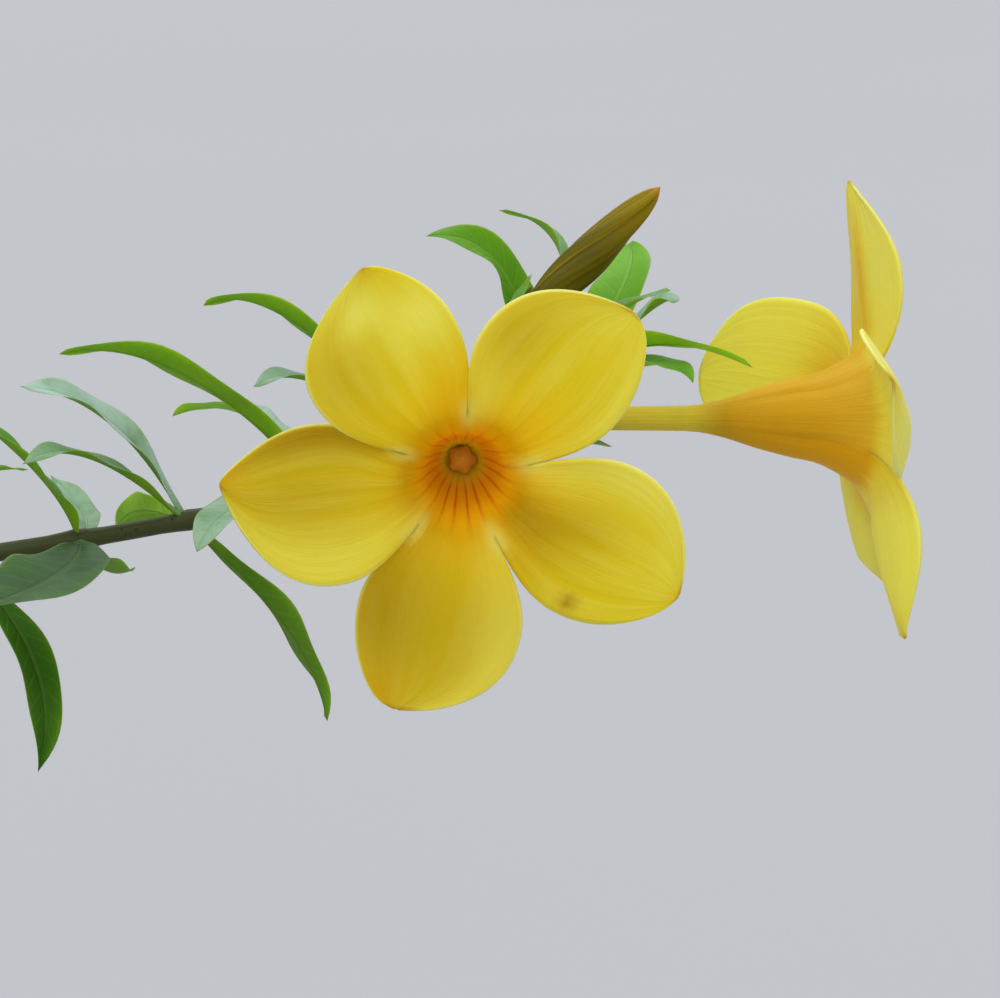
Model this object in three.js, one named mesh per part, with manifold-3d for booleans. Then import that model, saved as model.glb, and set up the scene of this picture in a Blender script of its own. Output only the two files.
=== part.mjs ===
// A potted allamanda: a plain clay pot of soil with eight arching leafy stems, open yellow
// trumpet blooms and spindle buds. Millimetres, +Z up. The origin is the centre of the pot's
// flat underside. One stem leans out along +X and carries two open blooms and a bud at its tip.
import * as THREE from "three";
import { mergeVertices } from "three/addons/utils/BufferGeometryUtils.js";
import Module from "manifold-3d";

const wasm = await Module();
wasm.setup();

// Driving dimensions of the pot and its soil
const POT_HEIGHT = 160;
const POT_FOOT_RADIUS = 62;
const POT_SHOULDER_RADIUS = 88;
const POT_RIM_RADIUS = 95;
const POT_WALL = 8;
const RIM_BAND_HEIGHT = 32;
const RIM_BAND_STEP = 4;
const BAND_FOOT = POT_HEIGHT - RIM_BAND_HEIGHT;
const RIM_THINNING = 1;
const POT_SIDES = 32;
const DRAIN_RADIUS = 6;
const DRAIN_RING_RADIUS = 34;
const DRAIN_COUNT = 4;
const HOLE_SIDES = 8;
const FIT_GAP = 0.35;
const SOIL_SIDE_GAP = 0.525;
const SOIL_TOP = 140;
const SOIL_SPREAD = 2;
const SOIL_DOME = 6;
const DRILL_LENGTH = 60;

// Driving dimensions of the stems
const ROOT_DEPTH = 106;
const STRAIGHT_TOP = 155;
const ROOT_RING_RADIUS = 30;
const STEM_FOOT_RADIUS = 3.1;
const STEM_TIP_RADIUS = 1.25;
const STEM_TAPER = 0.8;
const STEM_SIDES = 5;
const STEM_STEPS = 20;
const SPRAY_STEM_STEPS = 28;
const BOW_RISE = 0.7;
const BOW_REACH = 0.5;
const BEND_SAMPLES = 40;
const SPRAY_SAMPLES = 50;

// Driving dimensions of the leaves
const LEAF_THICKNESS = 0.9;
const LEAF_FOLD = 0.28;
const PETIOLE_HALF_WIDTH = 0.7;
const LOWER_LEAF_LENGTH = 68;
const UPPER_LEAF_LENGTH = 50;
const LEAF_SLIMNESS = 0.25;
const LEAF_STATIONS = [0, 0.34, 0.72];
const SPRAY_LEAF_STATIONS = [0, 0.28, 0.56, 0.82];

// How whorls of leaves are set along a stem. Places on a leaf are shares of its length, out
// from the stem and along it.
const WHORL_SPACING = 30;
const WHORL_TURN = THREE.MathUtils.degToRad(80);
const WHORL_TRIES = [0, 0.4, -0.4, 0.8, -0.8];
const FOUR_LEAF_SHARE = 0.55;
const WHORL_BEND = { outward: 0.5, along: 0.27 };
const WHORL_TIP = { outward: 0.84, along: 0.1 };
const WHORL_FACE = { along: 0.6, up: 0.55 };
const FULL_GROWN_AT = 150;
const TIP_BARE = 4;
const SPRAY_LENGTH = 132;
const LOWEST_WHORL = 196;
const LOWEST_LEAF = 176;

// The room that whorl leaves leave: to other leaves, stems and heads, and on the open side
const CLEAR_PROBES = [0.3, 0.55, 0.8, 1];
const CLEAR_OF_LEAF = 15;
const CLEAR_OF_OWN_LEAF = 6;
const CLEAR_OF_STEM = 10;
const CLEAR_OF_HEAD = 14;
const STEM_PROBE_SPACING = 9;
const BLOOM_PROBES = [0, 12, 24, 36, 48];
const PETAL_PROBES = [0.1, 0.5, 0.95];
const BUD_PROBES = [0, 12, 24, 36];
const NO_OWNER = -1;
const OPEN_SIDE_START = 152;
const OPEN_SIDE_BOTTOM = 268;

// Driving dimensions of a bloom, measured along its axis from the foot of its tube
const TUBE_LENGTH = 24;
const MOUTH_AT = 51;
const MOUTH_RADIUS = 10.7;
const TUBE_RADIUS = 1.9;
const FUNNEL = [
  [TUBE_RADIUS - 0.15, 0],
  [TUBE_RADIUS, TUBE_LENGTH],
  [4.7, 33.5],
  [7.1, 43.5],
  [MOUTH_RADIUS, MOUTH_AT],
];
const FUNNEL_SIDES = 10;
const COROLLA_THICKNESS = 0.9;
const PETAL_COUNT = 5;
const PETAL_LENGTH = 30.5;
const PETAL_HALF_WIDTH = 13.8;
const PETAL_FOOT_SHARE = 0.6;
const PETAL_NARROWING = 2.2;
const PETAL_TIP_END = 0.03;
const PETAL_TIP_POWER = 7;
const PETAL_SEAT_ANGLE = THREE.MathUtils.degToRad(34);
const PETAL_SEAT_END = 0.35;
const PETAL_CUP_REST = 0.4;
const PETAL_SINK = 0.05;
const FLARE_ANGLE = THREE.MathUtils.degToRad(54);
const FLARE_LENGTH = 3.6;
const FLARE_STEPS = 24;
const RECEPTACLE_LENGTH = 3.2;
const PEDICEL_RADIUS = 1.15;
const PEDICEL_STEPS = 4;
const SEPAL_COUNT = 5;
const SEPAL_NOTCH = 0.1;
const NOTCH_FLARE = 0.35;
const SEPAL_FOOT = [2.9, -0.9];
const SEPAL_OUTSIDE = [
  [4, 3.2],
  [4.8, 8.8],
];
const SEPAL_INSIDE = [
  [3.2, 3.6],
  [2.4, -FIT_GAP],
];

// How far a head at another stem's tip stands from it, along the stem and along its own axis
const HEAD_PAST_TIP = 7;
const HEAD_OUT = 13;

// Driving dimensions of a bud: radius, and place along it as a share of its length
const BUD_LENGTH = 36;
const BUD_SHAPE = [
  [1.6, 0],
  [2.1, 0.14],
  [2.9, 0.3],
  [3.3, 0.49],
  [2.85, 0.655],
  [2.3, 0.79],
  [1.75, 0.88],
  [1.1, 0.95],
];
const BUD_SIDES = 10;
const BUD_TWIST = 2.4;
const BUD_RIDGE = 0.07;

// The flowering spray is laid out in its own frame: x to the right, y up and z towards a
// viewer who looks down on it by this angle. Its origin is the mouth of the front bloom.
const VIEW_DOWN = THREE.MathUtils.degToRad(10);
const SPRAY_AT = new THREE.Vector3(250, -45, 360);

const vec = (x, y, z) => new THREE.Vector3(x, y, z);
const mix = (a, b, t) => a + (b - a) * t;
const radians = THREE.MathUtils.degToRad;
const smooth = (t) => THREE.MathUtils.smoothstep(t, 0, 1);

/** A direction of the spray's frame in the part's frame. */
function sprayDirection(x, y, z) {
  const rise = Math.sin(VIEW_DOWN);
  const level = Math.cos(VIEW_DOWN);
  return vec(x, y * rise - z * level, y * level + z * rise);
}

/** A point of the spray's frame in the part's frame. */
const sprayPoint = (x, y, z) => sprayDirection(x, y, z).add(SPRAY_AT);

/** A direction from its bearing about +Z and its height above the level, in degrees. */
function bearing(turn, pitch) {
  const level = Math.cos(radians(pitch));
  return vec(level * Math.cos(radians(turn)), level * Math.sin(radians(turn)), Math.sin(radians(pitch)));
}

// The front stem's nodes on the spray, out to its tip
const SPRAY_NODES = [
  [-88.3, -13.5, -46],
  [-67.4, -10.2, -46],
  [-49, -6.9, -48],
  [-24.9, -1.6, -52],
  [-6.5, 4, -56],
  [12.9, 11.1, -58],
].map((p) => sprayPoint(...p));

// The spray's leaves: their node on the stem, bend, tip, the way the upper face looks, and width
const SPRAY_LEAVES = [
  [0, [-68, -31.7, -32], [-73.9, -50.3, -35], [0.45, 0.3, 0.75], 7.4],
  [0, [-92.6, 3.7, -55], [-78, 2.1, -66], [0, 1, 0], 7],
  [1, [-70.3, 0.6, -40], [-88.2, 13.3, -35], [0.3, 1, 0.15], 8],
  [1, [-64.7, -6.8, -62], [-74.7, 1.1, -75], [0.2, 0.8, 0.6], 5.5],
  [1, [-63.7, -16.6, -18], [-82.9, -21.9, 5], [0, 0.8, 0.6], 16],
  [1, [-64.5, -18.3, -70], [-60.4, -15.7, -85], [0, 1, 0.2], 7],
  [2, [-60.7, 15.6, -42], [-76.6, 16.2, -30], [0.3, 1, 0.45], 10],
  [2, [-66.8, 9.9, -35], [-75.4, 2.7, -20], [0.2, 1, 0.25], 6.5],
  [2, [-61.4, -2.7, -75], [-64.3, -10.2, -90], [0.9, 0.25, -0.33], 7.5],
  [2, [-26.2, -26, -38], [-23.8, -41.3, -30], [0.6, 0.5, -0.5], 8.5],
  [3, [-50.2, 26.8, -26], [-69.9, 21.7, -30], [0.25, 1, -0.35], 9],
  [3, [-38.8, 18.4, -75], [-54, 11.9, -95], [0, 1, -0.2], 8],
  [3, [-36.3, 13.4, -62], [-40.3, 13.6, -75], [0.4, 0.8, 0.4], 6],
  [3, [-42.5, -2.1, -30], [-45.8, -12.2, -22], [-0.2, 0.7, 0.7], 8.5],
  [4, [-32.2, 37.2, -32], [-45.7, 30.4, -42], [0.25, 1, -0.2], 8],
  [4, [-28, 23.2, -40], [-36.6, 16.1, -32], [0.1, 1, 0.35], 6.5],
  [4, [-16.2, -14.5, -42], [-16.9, -18.9, -35], [0.5, 0.3, -0.5], 8],
  [5, [10.6, 45.6, -66], [-7.1, 42.9, -52], [0.4, 0.7, 0.5], 10.5],
  [5, [25.6, 46.3, -72], [5.6, 48.8, -80], [0.75, 0.65, 0.1], 7],
  [5, [32.1, 37.7, -66], [29.3, 43.3, -92], [-0.3, 0.5, 0.8], 10],
  [5, [24.8, 32.9, -60], [35.9, 33.5, -55], [0, 1, 0.3], 6],
  [5, [34.9, 35.1, -50], [36.6, 31.1, -45], [0, 1, 0.4], 7],
  [5, [27.6, 31.3, -45], [49.6, 19.5, -38], [0, 1, -0.3], 8],
  [5, [34.4, 26.2, -45], [39.3, 16.9, -40], [0.1, 1, 0.35], 7],
];

// The other stems: bearing, reach, height of the tip, bearing and pitch there, seed
const OTHER_STEMS = [
  { turn: 110, reach: 50, top: 452, endTurn: 120, endPitch: 58, seed: 11 },
  { turn: 165, reach: 165, top: 372, endTurn: 172, endPitch: -28, seed: 23 },
  { turn: 215, reach: 175, top: 318, endTurn: 206, endPitch: -22, seed: 37 },
  { turn: 265, reach: 120, top: 300, endTurn: 258, endPitch: 12, seed: 41 },
  { turn: 60, reach: 100, top: 420, endTurn: 52, endPitch: 25, seed: 53 },
  { turn: 322, reach: 112, top: 262, endTurn: 312, endPitch: 5, seed: 67 },
  { turn: 18, reach: 105, top: 248, endTurn: 26, endPitch: 6, seed: 79 },
];

const FRONT_SPRAY_SEED = 7;

/** A seeded draw of numbers that gives the same row on every run. */
class Draw {
  constructor(seed) {
    this.state = seed >>> 0;
  }

  between(low, high) {
    this.state = (Math.imul(this.state, 1664525) + 1013904223) >>> 0;
    return mix(low, high, this.state / 4294967296);
  }
}

/** A stem's middle line as a row of points, with its length up to each. */
class StemLine extends THREE.Curve {
  constructor(points) {
    super();
    this.points = points;
    this.reached = [0];
    for (let i = 1; i < points.length; i++)
      this.reached.push(this.reached[i - 1] + points[i].distanceTo(points[i - 1]));
    this.total = this.reached[points.length - 1];
  }

  segment(distance) {
    let i = 1;
    while (i < this.points.length - 1 && this.reached[i] < distance) i++;
    return i;
  }

  pointAlong(distance) {
    const i = this.segment(distance);
    const share = (distance - this.reached[i - 1]) / (this.reached[i] - this.reached[i - 1]);
    return this.points[i - 1].clone().lerp(this.points[i], share);
  }

  directionAlong(distance) {
    const i = this.segment(distance);
    return this.points[i].clone().sub(this.points[i - 1]).normalize();
  }

  getPoint(t) {
    return this.pointAlong(t * this.total);
  }
}

/** A stem's line: straight out of the soil, then bowed over to its end. */
function bowedStem(root, end, endDirection, onward = []) {
  const foot = root.clone().setZ(ROOT_DEPTH);
  const bare = root.clone().setZ(STRAIGHT_TOP);
  const rise = end.z - STRAIGHT_TOP;
  const reach = Math.hypot(end.x - root.x, end.y - root.y);
  const bow = new THREE.CubicBezierCurve3(
    bare,
    bare.clone().setZ(STRAIGHT_TOP + BOW_RISE * rise),
    end.clone().addScaledVector(endDirection, -BOW_REACH * reach),
    end,
  );
  const points = [foot];
  for (let i = 0; i <= BEND_SAMPLES; i++) points.push(bow.getPoint(i / BEND_SAMPLES));
  return new StemLine([...points, ...onward]);
}

/** The front stem's line, which follows the spray's nodes after its bow. */
function sprayStemLine() {
  const spray = new THREE.CatmullRomCurve3(SPRAY_NODES, false, "catmullrom", 0.5);
  const onward = [];
  for (let i = 1; i <= SPRAY_SAMPLES; i++) onward.push(spray.getPoint(i / SPRAY_SAMPLES));
  const start = SPRAY_NODES[0];
  const direction = SPRAY_NODES[1].clone().sub(start).normalize();
  return bowedStem(bearing(-10, 0).multiplyScalar(ROOT_RING_RADIUS), start, direction, onward);
}

/** Another stem's line, from its row in the list. */
function otherStemLine(stem) {
  const root = bearing(stem.turn, 0).multiplyScalar(ROOT_RING_RADIUS);
  const end = bearing((stem.turn + stem.endTurn) / 2, 0)
    .multiplyScalar(ROOT_RING_RADIUS + stem.reach)
    .setZ(stem.top);
  return bowedStem(root, end, bearing(stem.endTurn, stem.endPitch));
}

/** A closed geometry as a manifold solid, with its shared vertices merged. */
function solidOf(geometry) {
  const bare = geometry.clone();
  bare.deleteAttribute("normal");
  bare.deleteAttribute("uv");
  const merged = mergeVertices(bare, 1e-4);
  const index = merged.index.array;
  const kept = [];
  for (let i = 0; i < index.length; i += 3) {
    const [a, b, c] = [index[i], index[i + 1], index[i + 2]];
    if (a !== b && b !== c && c !== a) kept.push(a, b, c);
  }
  return new wasm.Manifold(
    new wasm.Mesh({
      numProp: 3,
      vertProperties: merged.attributes.position.array,
      triVerts: new Uint32Array(kept),
    }),
  );
}

/** A manifold solid as a three.js geometry. */
function geometryOf(solid) {
  const mesh = solid.getMesh();
  const geometry = new THREE.BufferGeometry();
  geometry.setAttribute("position", new THREE.BufferAttribute(mesh.vertProperties, mesh.numProp));
  geometry.setIndex(new THREE.BufferAttribute(mesh.triVerts, 1));
  geometry.computeVertexNormals();
  return geometry;
}

const joined = (solids) => solids.reduce((sum, next) => sum.add(next));

/** Moves each vertex of a geometry to the point that place(point) returns. */
function reshape(geometry, place) {
  const position = geometry.attributes.position;
  const point = new THREE.Vector3();
  for (let i = 0; i < position.count; i++) {
    const moved = place(point.fromBufferAttribute(position, i));
    position.setXYZ(i, moved.x, moved.y, moved.z);
  }
  return geometry;
}

/** A rod along a curve. radiusAt(t) is its radius from its foot, 0, to its tip, 1. */
function rod(curve, radiusAt, sides, steps) {
  const frames = curve.computeFrenetFrames(steps, false);
  const straight = new THREE.CylinderGeometry(1, 1, 1, sides, steps);
  return reshape(straight, (p) => {
    const step = Math.round((0.5 + p.y) * steps);
    const radius = radiusAt(step / steps);
    return curve
      .getPointAt(step / steps)
      .addScaledVector(frames.normals[step], p.z * radius)
      .addScaledVector(frames.binormals[step], p.x * radius);
  });
}

/** A thin closed sheet over a grid of points, its two faces split into triangles alike. */
function sheet(columns, rows, pointAt, thickness) {
  const across = columns + 1;
  const middle = [];
  for (let j = 0; j <= rows; j++)
    for (let i = 0; i <= columns; i++) middle.push(pointAt((2 * i) / columns - 1, j / rows));
  const clamp = THREE.MathUtils.clamp;
  const at = (i, j) => middle[clamp(j, 0, rows) * across + clamp(i, 0, columns)];
  const points = [];
  for (const side of [0.5, -0.5])
    for (let j = 0; j <= rows; j++)
      for (let i = 0; i <= columns; i++) {
        const alongColumns = at(i + 1, j).clone().sub(at(i - 1, j));
        const alongRows = at(i, j + 1).clone().sub(at(i, j - 1));
        const normal = alongColumns.cross(alongRows).normalize();
        points.push(at(i, j).clone().addScaledVector(normal, side * thickness));
      }
  const count = across * (rows + 1);
  const index = [];
  for (let j = 0; j < rows; j++)
    for (let i = 0; i < columns; i++) {
      const a = j * across + i;
      const [b, c, d] = [a + 1, a + across + 1, a + across];
      index.push(a, b, c, a, c, d);
      index.push(count + a, count + c, count + b, count + a, count + d, count + c);
    }
  const rim = [];
  for (let i = 0; i < columns; i++) rim.push(i);
  for (let j = 0; j < rows; j++) rim.push(j * across + columns);
  for (let i = columns; i > 0; i--) rim.push(rows * across + i);
  for (let j = rows; j > 0; j--) rim.push(j * across);
  rim.forEach((a, k) => {
    const b = rim[(k + 1) % rim.length];
    index.push(a, count + a, count + b, a, count + b, b);
  });
  const geometry = new THREE.BufferGeometry().setFromPoints(points);
  geometry.setIndex(index);
  return geometry;
}

/** A leaf's half width at t along it, as a share of its widest. */
const leafOutline = (t) => Math.sin(Math.PI * t ** 1.1) ** 0.9;

/** A leaf's middle line: a bow from its foot past its bend to its tip. */
const leafLine = (leaf) => new THREE.QuadraticBezierCurve3(leaf.foot, leaf.bend, leaf.tip);

/** A leaf as a blade that thins from its rib to its edges. A folded one is grooved on top. */
function leafSolid(leaf, stations, folded) {
  const line = leafLine(leaf);
  const points = [];
  for (const t of stations) {
    const centre = line.getPoint(t);
    const along = line.getTangent(t);
    const up = leaf.face.clone().addScaledVector(along, -leaf.face.dot(along)).normalize();
    const side = along.clone().cross(up);
    const half = Math.max(PETIOLE_HALF_WIDTH, (leaf.width / 2) * leafOutline(t));
    const lift = t === 0 ? 0 : folded ? half * LEAF_FOLD : LEAF_THICKNESS / 2;
    const edge = centre.clone().addScaledVector(up, lift);
    points.push(edge.clone().addScaledVector(side, -half));
    if (folded) points.push(centre.clone().addScaledVector(up, LEAF_THICKNESS / 2));
    points.push(edge.clone().addScaledVector(side, half));
    points.push(centre.clone().addScaledVector(up, -LEAF_THICKNESS / 2));
  }
  const sides = folded ? 4 : 3;
  const tip = points.length;
  points.push(leaf.tip);
  const index = folded ? [0, 3, 2, 0, 2, 1] : [0, 2, 1];
  const next = (k) => (k + 1) % sides;
  for (let first = 0; first + sides < tip; first += sides)
    for (let k = 0; k < sides; k++) {
      const [a, b] = [first + k, first + next(k)];
      index.push(a, b, b + sides, a, b + sides, a + sides);
    }
  for (let k = 0; k < sides; k++) index.push(tip - sides + k, tip - sides + next(k), tip);
  const geometry = new THREE.BufferGeometry().setFromPoints(points);
  geometry.setIndex(index);
  return solidOf(geometry);
}

/** What the leaves keep clear of: points, whose they are, and the room that they need. */
class Clearings {
  constructor() {
    this.taken = [];
  }

  add(point, owner, room, ownRoom) {
    this.taken.push({ point, owner, room, ownRoom });
  }

  addLeaf(leaf, owner) {
    for (const t of CLEAR_PROBES)
      this.add(leafLine(leaf).getPoint(t), owner, CLEAR_OF_LEAF, CLEAR_OF_OWN_LEAF);
  }

  allows(leaf, owner) {
    const probes = CLEAR_PROBES.map((t) => leafLine(leaf).getPoint(t));
    if (probes.some((p) => p.z < LOWEST_LEAF)) return false;
    if (probes.some((p) => p.x > OPEN_SIDE_START && p.z > OPEN_SIDE_BOTTOM)) return false;
    return this.taken.every((t) => {
      const room = t.owner === owner ? t.ownRoom : t.room;
      return probes.every((p) => p.distanceTo(t.point) >= room);
    });
  }
}

/** A leaf of a whorl, arching out from the stem and over under its weight. */
function whorlLeaf(node, along, turn, length, width, droop) {
  const level = vec(-along.y, along.x, 0);
  if (level.length() < 0.05) level.set(0, 1, 0);
  level.normalize();
  const outward = level.applyAxisAngle(along, turn);
  const reach = (share) =>
    outward.clone().multiplyScalar(share.outward).addScaledVector(along, share.along);
  return {
    foot: node,
    bend: node.clone().addScaledVector(reach(WHORL_BEND), length),
    tip: node.clone().addScaledVector(reach(WHORL_TIP).add(vec(0, 0, -droop)), length),
    face: along.clone().multiplyScalar(WHORL_FACE.along).add(vec(0, 0, WHORL_FACE.up)),
    width,
  };
}

/** The leaves of a stem, whorl by whorl from its tip down. */
function whorls(line, from, owner, seed, clearings) {
  const draw = new Draw(seed);
  const leaves = [];
  let distance = from;
  let turn = draw.between(0, 2 * Math.PI);
  while (distance > 0) {
    const node = line.pointAlong(distance);
    if (node.z < LOWEST_WHORL) break;
    const along = line.directionAlong(distance);
    const age = Math.min(1, (from - distance) / FULL_GROWN_AT);
    const count = draw.between(0, 1) < FOUR_LEAF_SHARE ? 4 : 3;
    for (let k = 0; k < count; k++) {
      const length = mix(UPPER_LEAF_LENGTH, LOWER_LEAF_LENGTH, age) * draw.between(0.85, 1.1);
      const width = length * LEAF_SLIMNESS * draw.between(0.9, 1.12);
      const droop = draw.between(0.12, 0.42);
      const own = turn + (2 * Math.PI * k) / count + draw.between(-0.15, 0.15);
      for (const shift of WHORL_TRIES) {
        const leaf = whorlLeaf(node, along, own + shift, length, width, droop);
        if (!clearings.allows(leaf, owner)) continue;
        clearings.addLeaf(leaf, owner);
        leaves.push(leaf);
        break;
      }
    }
    turn += WHORL_TURN;
    distance -= WHORL_SPACING * draw.between(0.85, 1.1);
  }
  return leaves;
}

/** The frame of a bloom or bud: its foot, with +Z along its axis and its own scale. */
function headFrame(foot, axis, up, size) {
  const z = axis.clone().normalize();
  const x = up.clone().cross(z).normalize();
  const y = z.clone().cross(x);
  const scale = vec(size, size, size);
  return new THREE.Matrix4().makeBasis(x, y, z).scale(scale).setPosition(foot);
}

/** The corolla's middle line out along a petal, as reach from the axis and height. */
function petalLine(distance, reflex) {
  let reach = MOUTH_RADIUS;
  let height = MOUTH_AT;
  const step = distance / FLARE_STEPS;
  for (let k = 0; k < FLARE_STEPS; k++) {
    const gone = Math.max(0, (k + 0.5) * step);
    const angle = mix(-reflex, FLARE_ANGLE, Math.exp(-gone / FLARE_LENGTH));
    reach += Math.cos(angle) * step;
    height += Math.sin(angle) * step;
  }
  return [reach, height];
}

/** A petal's half width at v from the mouth, 0, to its tip, 1. */
function petalHalfWidth(petal, v) {
  const widest = PETAL_HALF_WIDTH * petal.width;
  if (v < petal.widestAt) {
    const grown = Math.sin((Math.PI * Math.max(0, v)) / (2 * petal.widestAt));
    return widest * mix(PETAL_FOOT_SHARE, 1, grown);
  }
  const past = (v - petal.widestAt) / (1 - petal.widestAt);
  const left = Math.max(0, 1 - past ** PETAL_NARROWING) ** (1 - petal.bluntness);
  return widest * Math.max(PETAL_TIP_END, left);
}

/** A point of a petal at u across it, from -1 to 1, and v out along it, from 0 to 1. */
function petalPoint(petal, u, v) {
  const [reach, height] = petalLine(v * PETAL_LENGTH * petal.length, petal.reflex);
  const opened = smooth(v / PETAL_SEAT_END);
  const half = petalHalfWidth(petal, v);
  const shift = petal.shift * Math.max(0, v) ** PETAL_TIP_POWER;
  const seat = PETAL_SEAT_ANGLE * u;
  const across = mix(reach * Math.sin(seat), u * half - shift, opened);
  const out = mix(reach * Math.cos(seat), reach, opened);
  const cup = ((petal.cup * half) / PETAL_HALF_WIDTH) * (u * u - PETAL_CUP_REST);
  const lift = opened * (petal.twist * u * half + cup);
  const [c, s] = [Math.cos(petal.angle), Math.sin(petal.angle)];
  return vec(out * c - across * s, out * s + across * c, height + lift);
}

/** A corolla in its own frame: a tube that widens to a mouth, with five petals round it. */
function corollaGeometry(petals, columns, rows) {
  const outer = FUNNEL.map(([radius, at]) => new THREE.Vector2(radius, at));
  const inner = FUNNEL.slice(2)
    .reverse()
    .map(([radius, at]) => new THREE.Vector2(radius - COROLLA_THICKNESS, at));
  const axisFoot = new THREE.Vector2(0, 0);
  const axisTop = new THREE.Vector2(0, TUBE_LENGTH + 2);
  const profile = [axisFoot, ...outer, ...inner, axisTop];
  const funnel = new THREE.LatheGeometry(profile, FUNNEL_SIDES).rotateX(Math.PI / 2);
  const blades = petals.map((petal) => {
    const point = (u, v) => petalPoint(petal, u, mix(-PETAL_SINK, 1, Math.sin((Math.PI / 2) * v)));
    return solidOf(sheet(columns, rows, point, COROLLA_THICKNESS));
  });
  return geometryOf(joined([solidOf(funnel), ...blades]));
}

/** A bud in its own frame: a spindle with five ridges wound round it. */
function budGeometry() {
  const profile = [
    new THREE.Vector2(0, 0),
    ...BUD_SHAPE.map(([radius, at]) => new THREE.Vector2(radius, at * BUD_LENGTH)),
    new THREE.Vector2(0, BUD_LENGTH),
  ];
  const spindle = new THREE.LatheGeometry(profile, BUD_SIDES).rotateX(Math.PI / 2);
  reshape(spindle, (p) => {
    const turn = Math.atan2(p.y, p.x);
    const ridge = 1 + BUD_RIDGE * Math.cos(PETAL_COUNT * turn);
    const wound = turn + (BUD_TWIST * p.z) / BUD_LENGTH;
    const radius = Math.hypot(p.x, p.y) * ridge;
    return vec(radius * Math.cos(wound), radius * Math.sin(wound), p.z);
  });
  return geometryOf(solidOf(spindle));
}

/** A calyx in a head's own frame: a cone under a cup that is cut into five pointed sepals. */
function calyxGeometry() {
  const foot = -FIT_GAP - RECEPTACLE_LENGTH;
  const profile = [
    [0, foot],
    [PEDICEL_RADIUS, foot],
    SEPAL_FOOT,
    ...SEPAL_OUTSIDE,
    ...SEPAL_INSIDE,
    [0, -FIT_GAP],
  ].map(([radius, at]) => new THREE.Vector2(radius, at));
  const cup = new THREE.LatheGeometry(profile, 2 * SEPAL_COUNT).rotateX(Math.PI / 2);
  const [insideTop, insideFoot] = SEPAL_INSIDE.map(([radius]) => radius);
  const outsideFoot = SEPAL_OUTSIDE[0][0];
  return reshape(cup, (p) => {
    const column = Math.round((Math.atan2(p.y, p.x) * SEPAL_COUNT) / Math.PI + 2.5 * SEPAL_COUNT);
    const radius = Math.hypot(p.x, p.y);
    if (column % 2 === 0 || p.z <= 0) return p;
    const outside = radius > (insideTop + outsideFoot) / 2;
    const low = mix(insideFoot, radius, outside ? NOTCH_FLARE : SEPAL_NOTCH);
    return vec((p.x * low) / radius, (p.y * low) / radius, p.z * SEPAL_NOTCH);
  });
}

/** A head's stalk, bent from the stem's tip to the foot of its calyx. */
function pedicelGeometry(head, stemTip, stemDirection) {
  const base = vec(0, 0, -FIT_GAP - RECEPTACLE_LENGTH).applyMatrix4(head.frame);
  const axis = vec(0, 0, 1).transformDirection(head.frame);
  const gap = base.distanceTo(stemTip);
  const stalk = new THREE.CubicBezierCurve3(
    stemTip.clone().addScaledVector(stemDirection, -1),
    stemTip.clone().addScaledVector(stemDirection, 0.35 * gap),
    base.clone().addScaledVector(axis, -0.5 * gap),
    base.clone().addScaledVector(axis, 0.5),
  );
  return rod(stalk, () => PEDICEL_RADIUS, STEM_SIDES, PEDICEL_STEPS);
}

/** A bloom or bud on a stem other than the front one, held a little past the stem's tip. */
function tipHead(line, axis, size) {
  const foot = line
    .pointAlong(line.total)
    .addScaledVector(line.directionAlong(line.total), HEAD_PAST_TIP)
    .addScaledVector(axis, HEAD_OUT);
  const up = Math.abs(axis.z) > 0.9 ? vec(1, 0, 0) : vec(0, 0, 1);
  return { frame: headFrame(foot, axis, up, size) };
}

// A petal's usual form: the rise of its edges, the shift of its tip and how blunt it is
const PLAIN_PETAL = { twist: 0.16, width: 1, shift: 4.5, bluntness: 0.3, widestAt: 0.45, cup: 1.2 };

/** The petals of a bloom: their bearing round the mouth, reflex and length share, and their form. */
const petalRing = (rows) =>
  rows.map(([angle, reflex, length, form]) => ({
    ...PLAIN_PETAL,
    ...form,
    angle: radians(angle),
    reflex: radians(reflex),
    length,
  }));

const FRONT_PETALS = petalRing([
  [123.5, 7, 0.955, { width: 0.98, shift: 5.2, bluntness: 0.25, widestAt: 0.51 }],
  [52, 5, 0.965, { width: 1.01, shift: 4.4, bluntness: 0.4 }],
  [-24.3, 4, 1.005, { width: 1.03, shift: 3, bluntness: 0.29 }],
  [-100.5, 4, 0.985, { shift: 4.2, bluntness: 0.42 }],
  [189.3, 6, 1, { width: 0.97, shift: 5.8, bluntness: 0.22 }],
]);
const SIDE_PETALS = petalRing([
  [98, 9, 0.965, { twist: 0.06, width: 0.96, shift: 6, bluntness: 0.1, widestAt: 0.5, cup: 1.7 }],
  [175, 17, 0.95, { twist: 0.25, width: 0.88, shift: 2, cup: -5 }],
  [249, -2.5, 0.97, { twist: 0.12, width: 0.98, shift: 1, bluntness: 0.05, widestAt: 0.42, cup: 4.2 }],
  [316, -14, 0.92, { twist: -0.2, width: 0.98, shift: -2.5, bluntness: 0.35, cup: 3 }],
  [19, 50, 1.03, { twist: 0.05, shift: 3, bluntness: 0.55 }],
]);

/** The petals of a bloom at another stem's tip, evenly round it from a first bearing. */
const evenPetals = (start) =>
  petalRing([6, 9, 5, 8, 4].map((reflex, k) => [start + (360 * k) / PETAL_COUNT, reflex, 1]));

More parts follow.
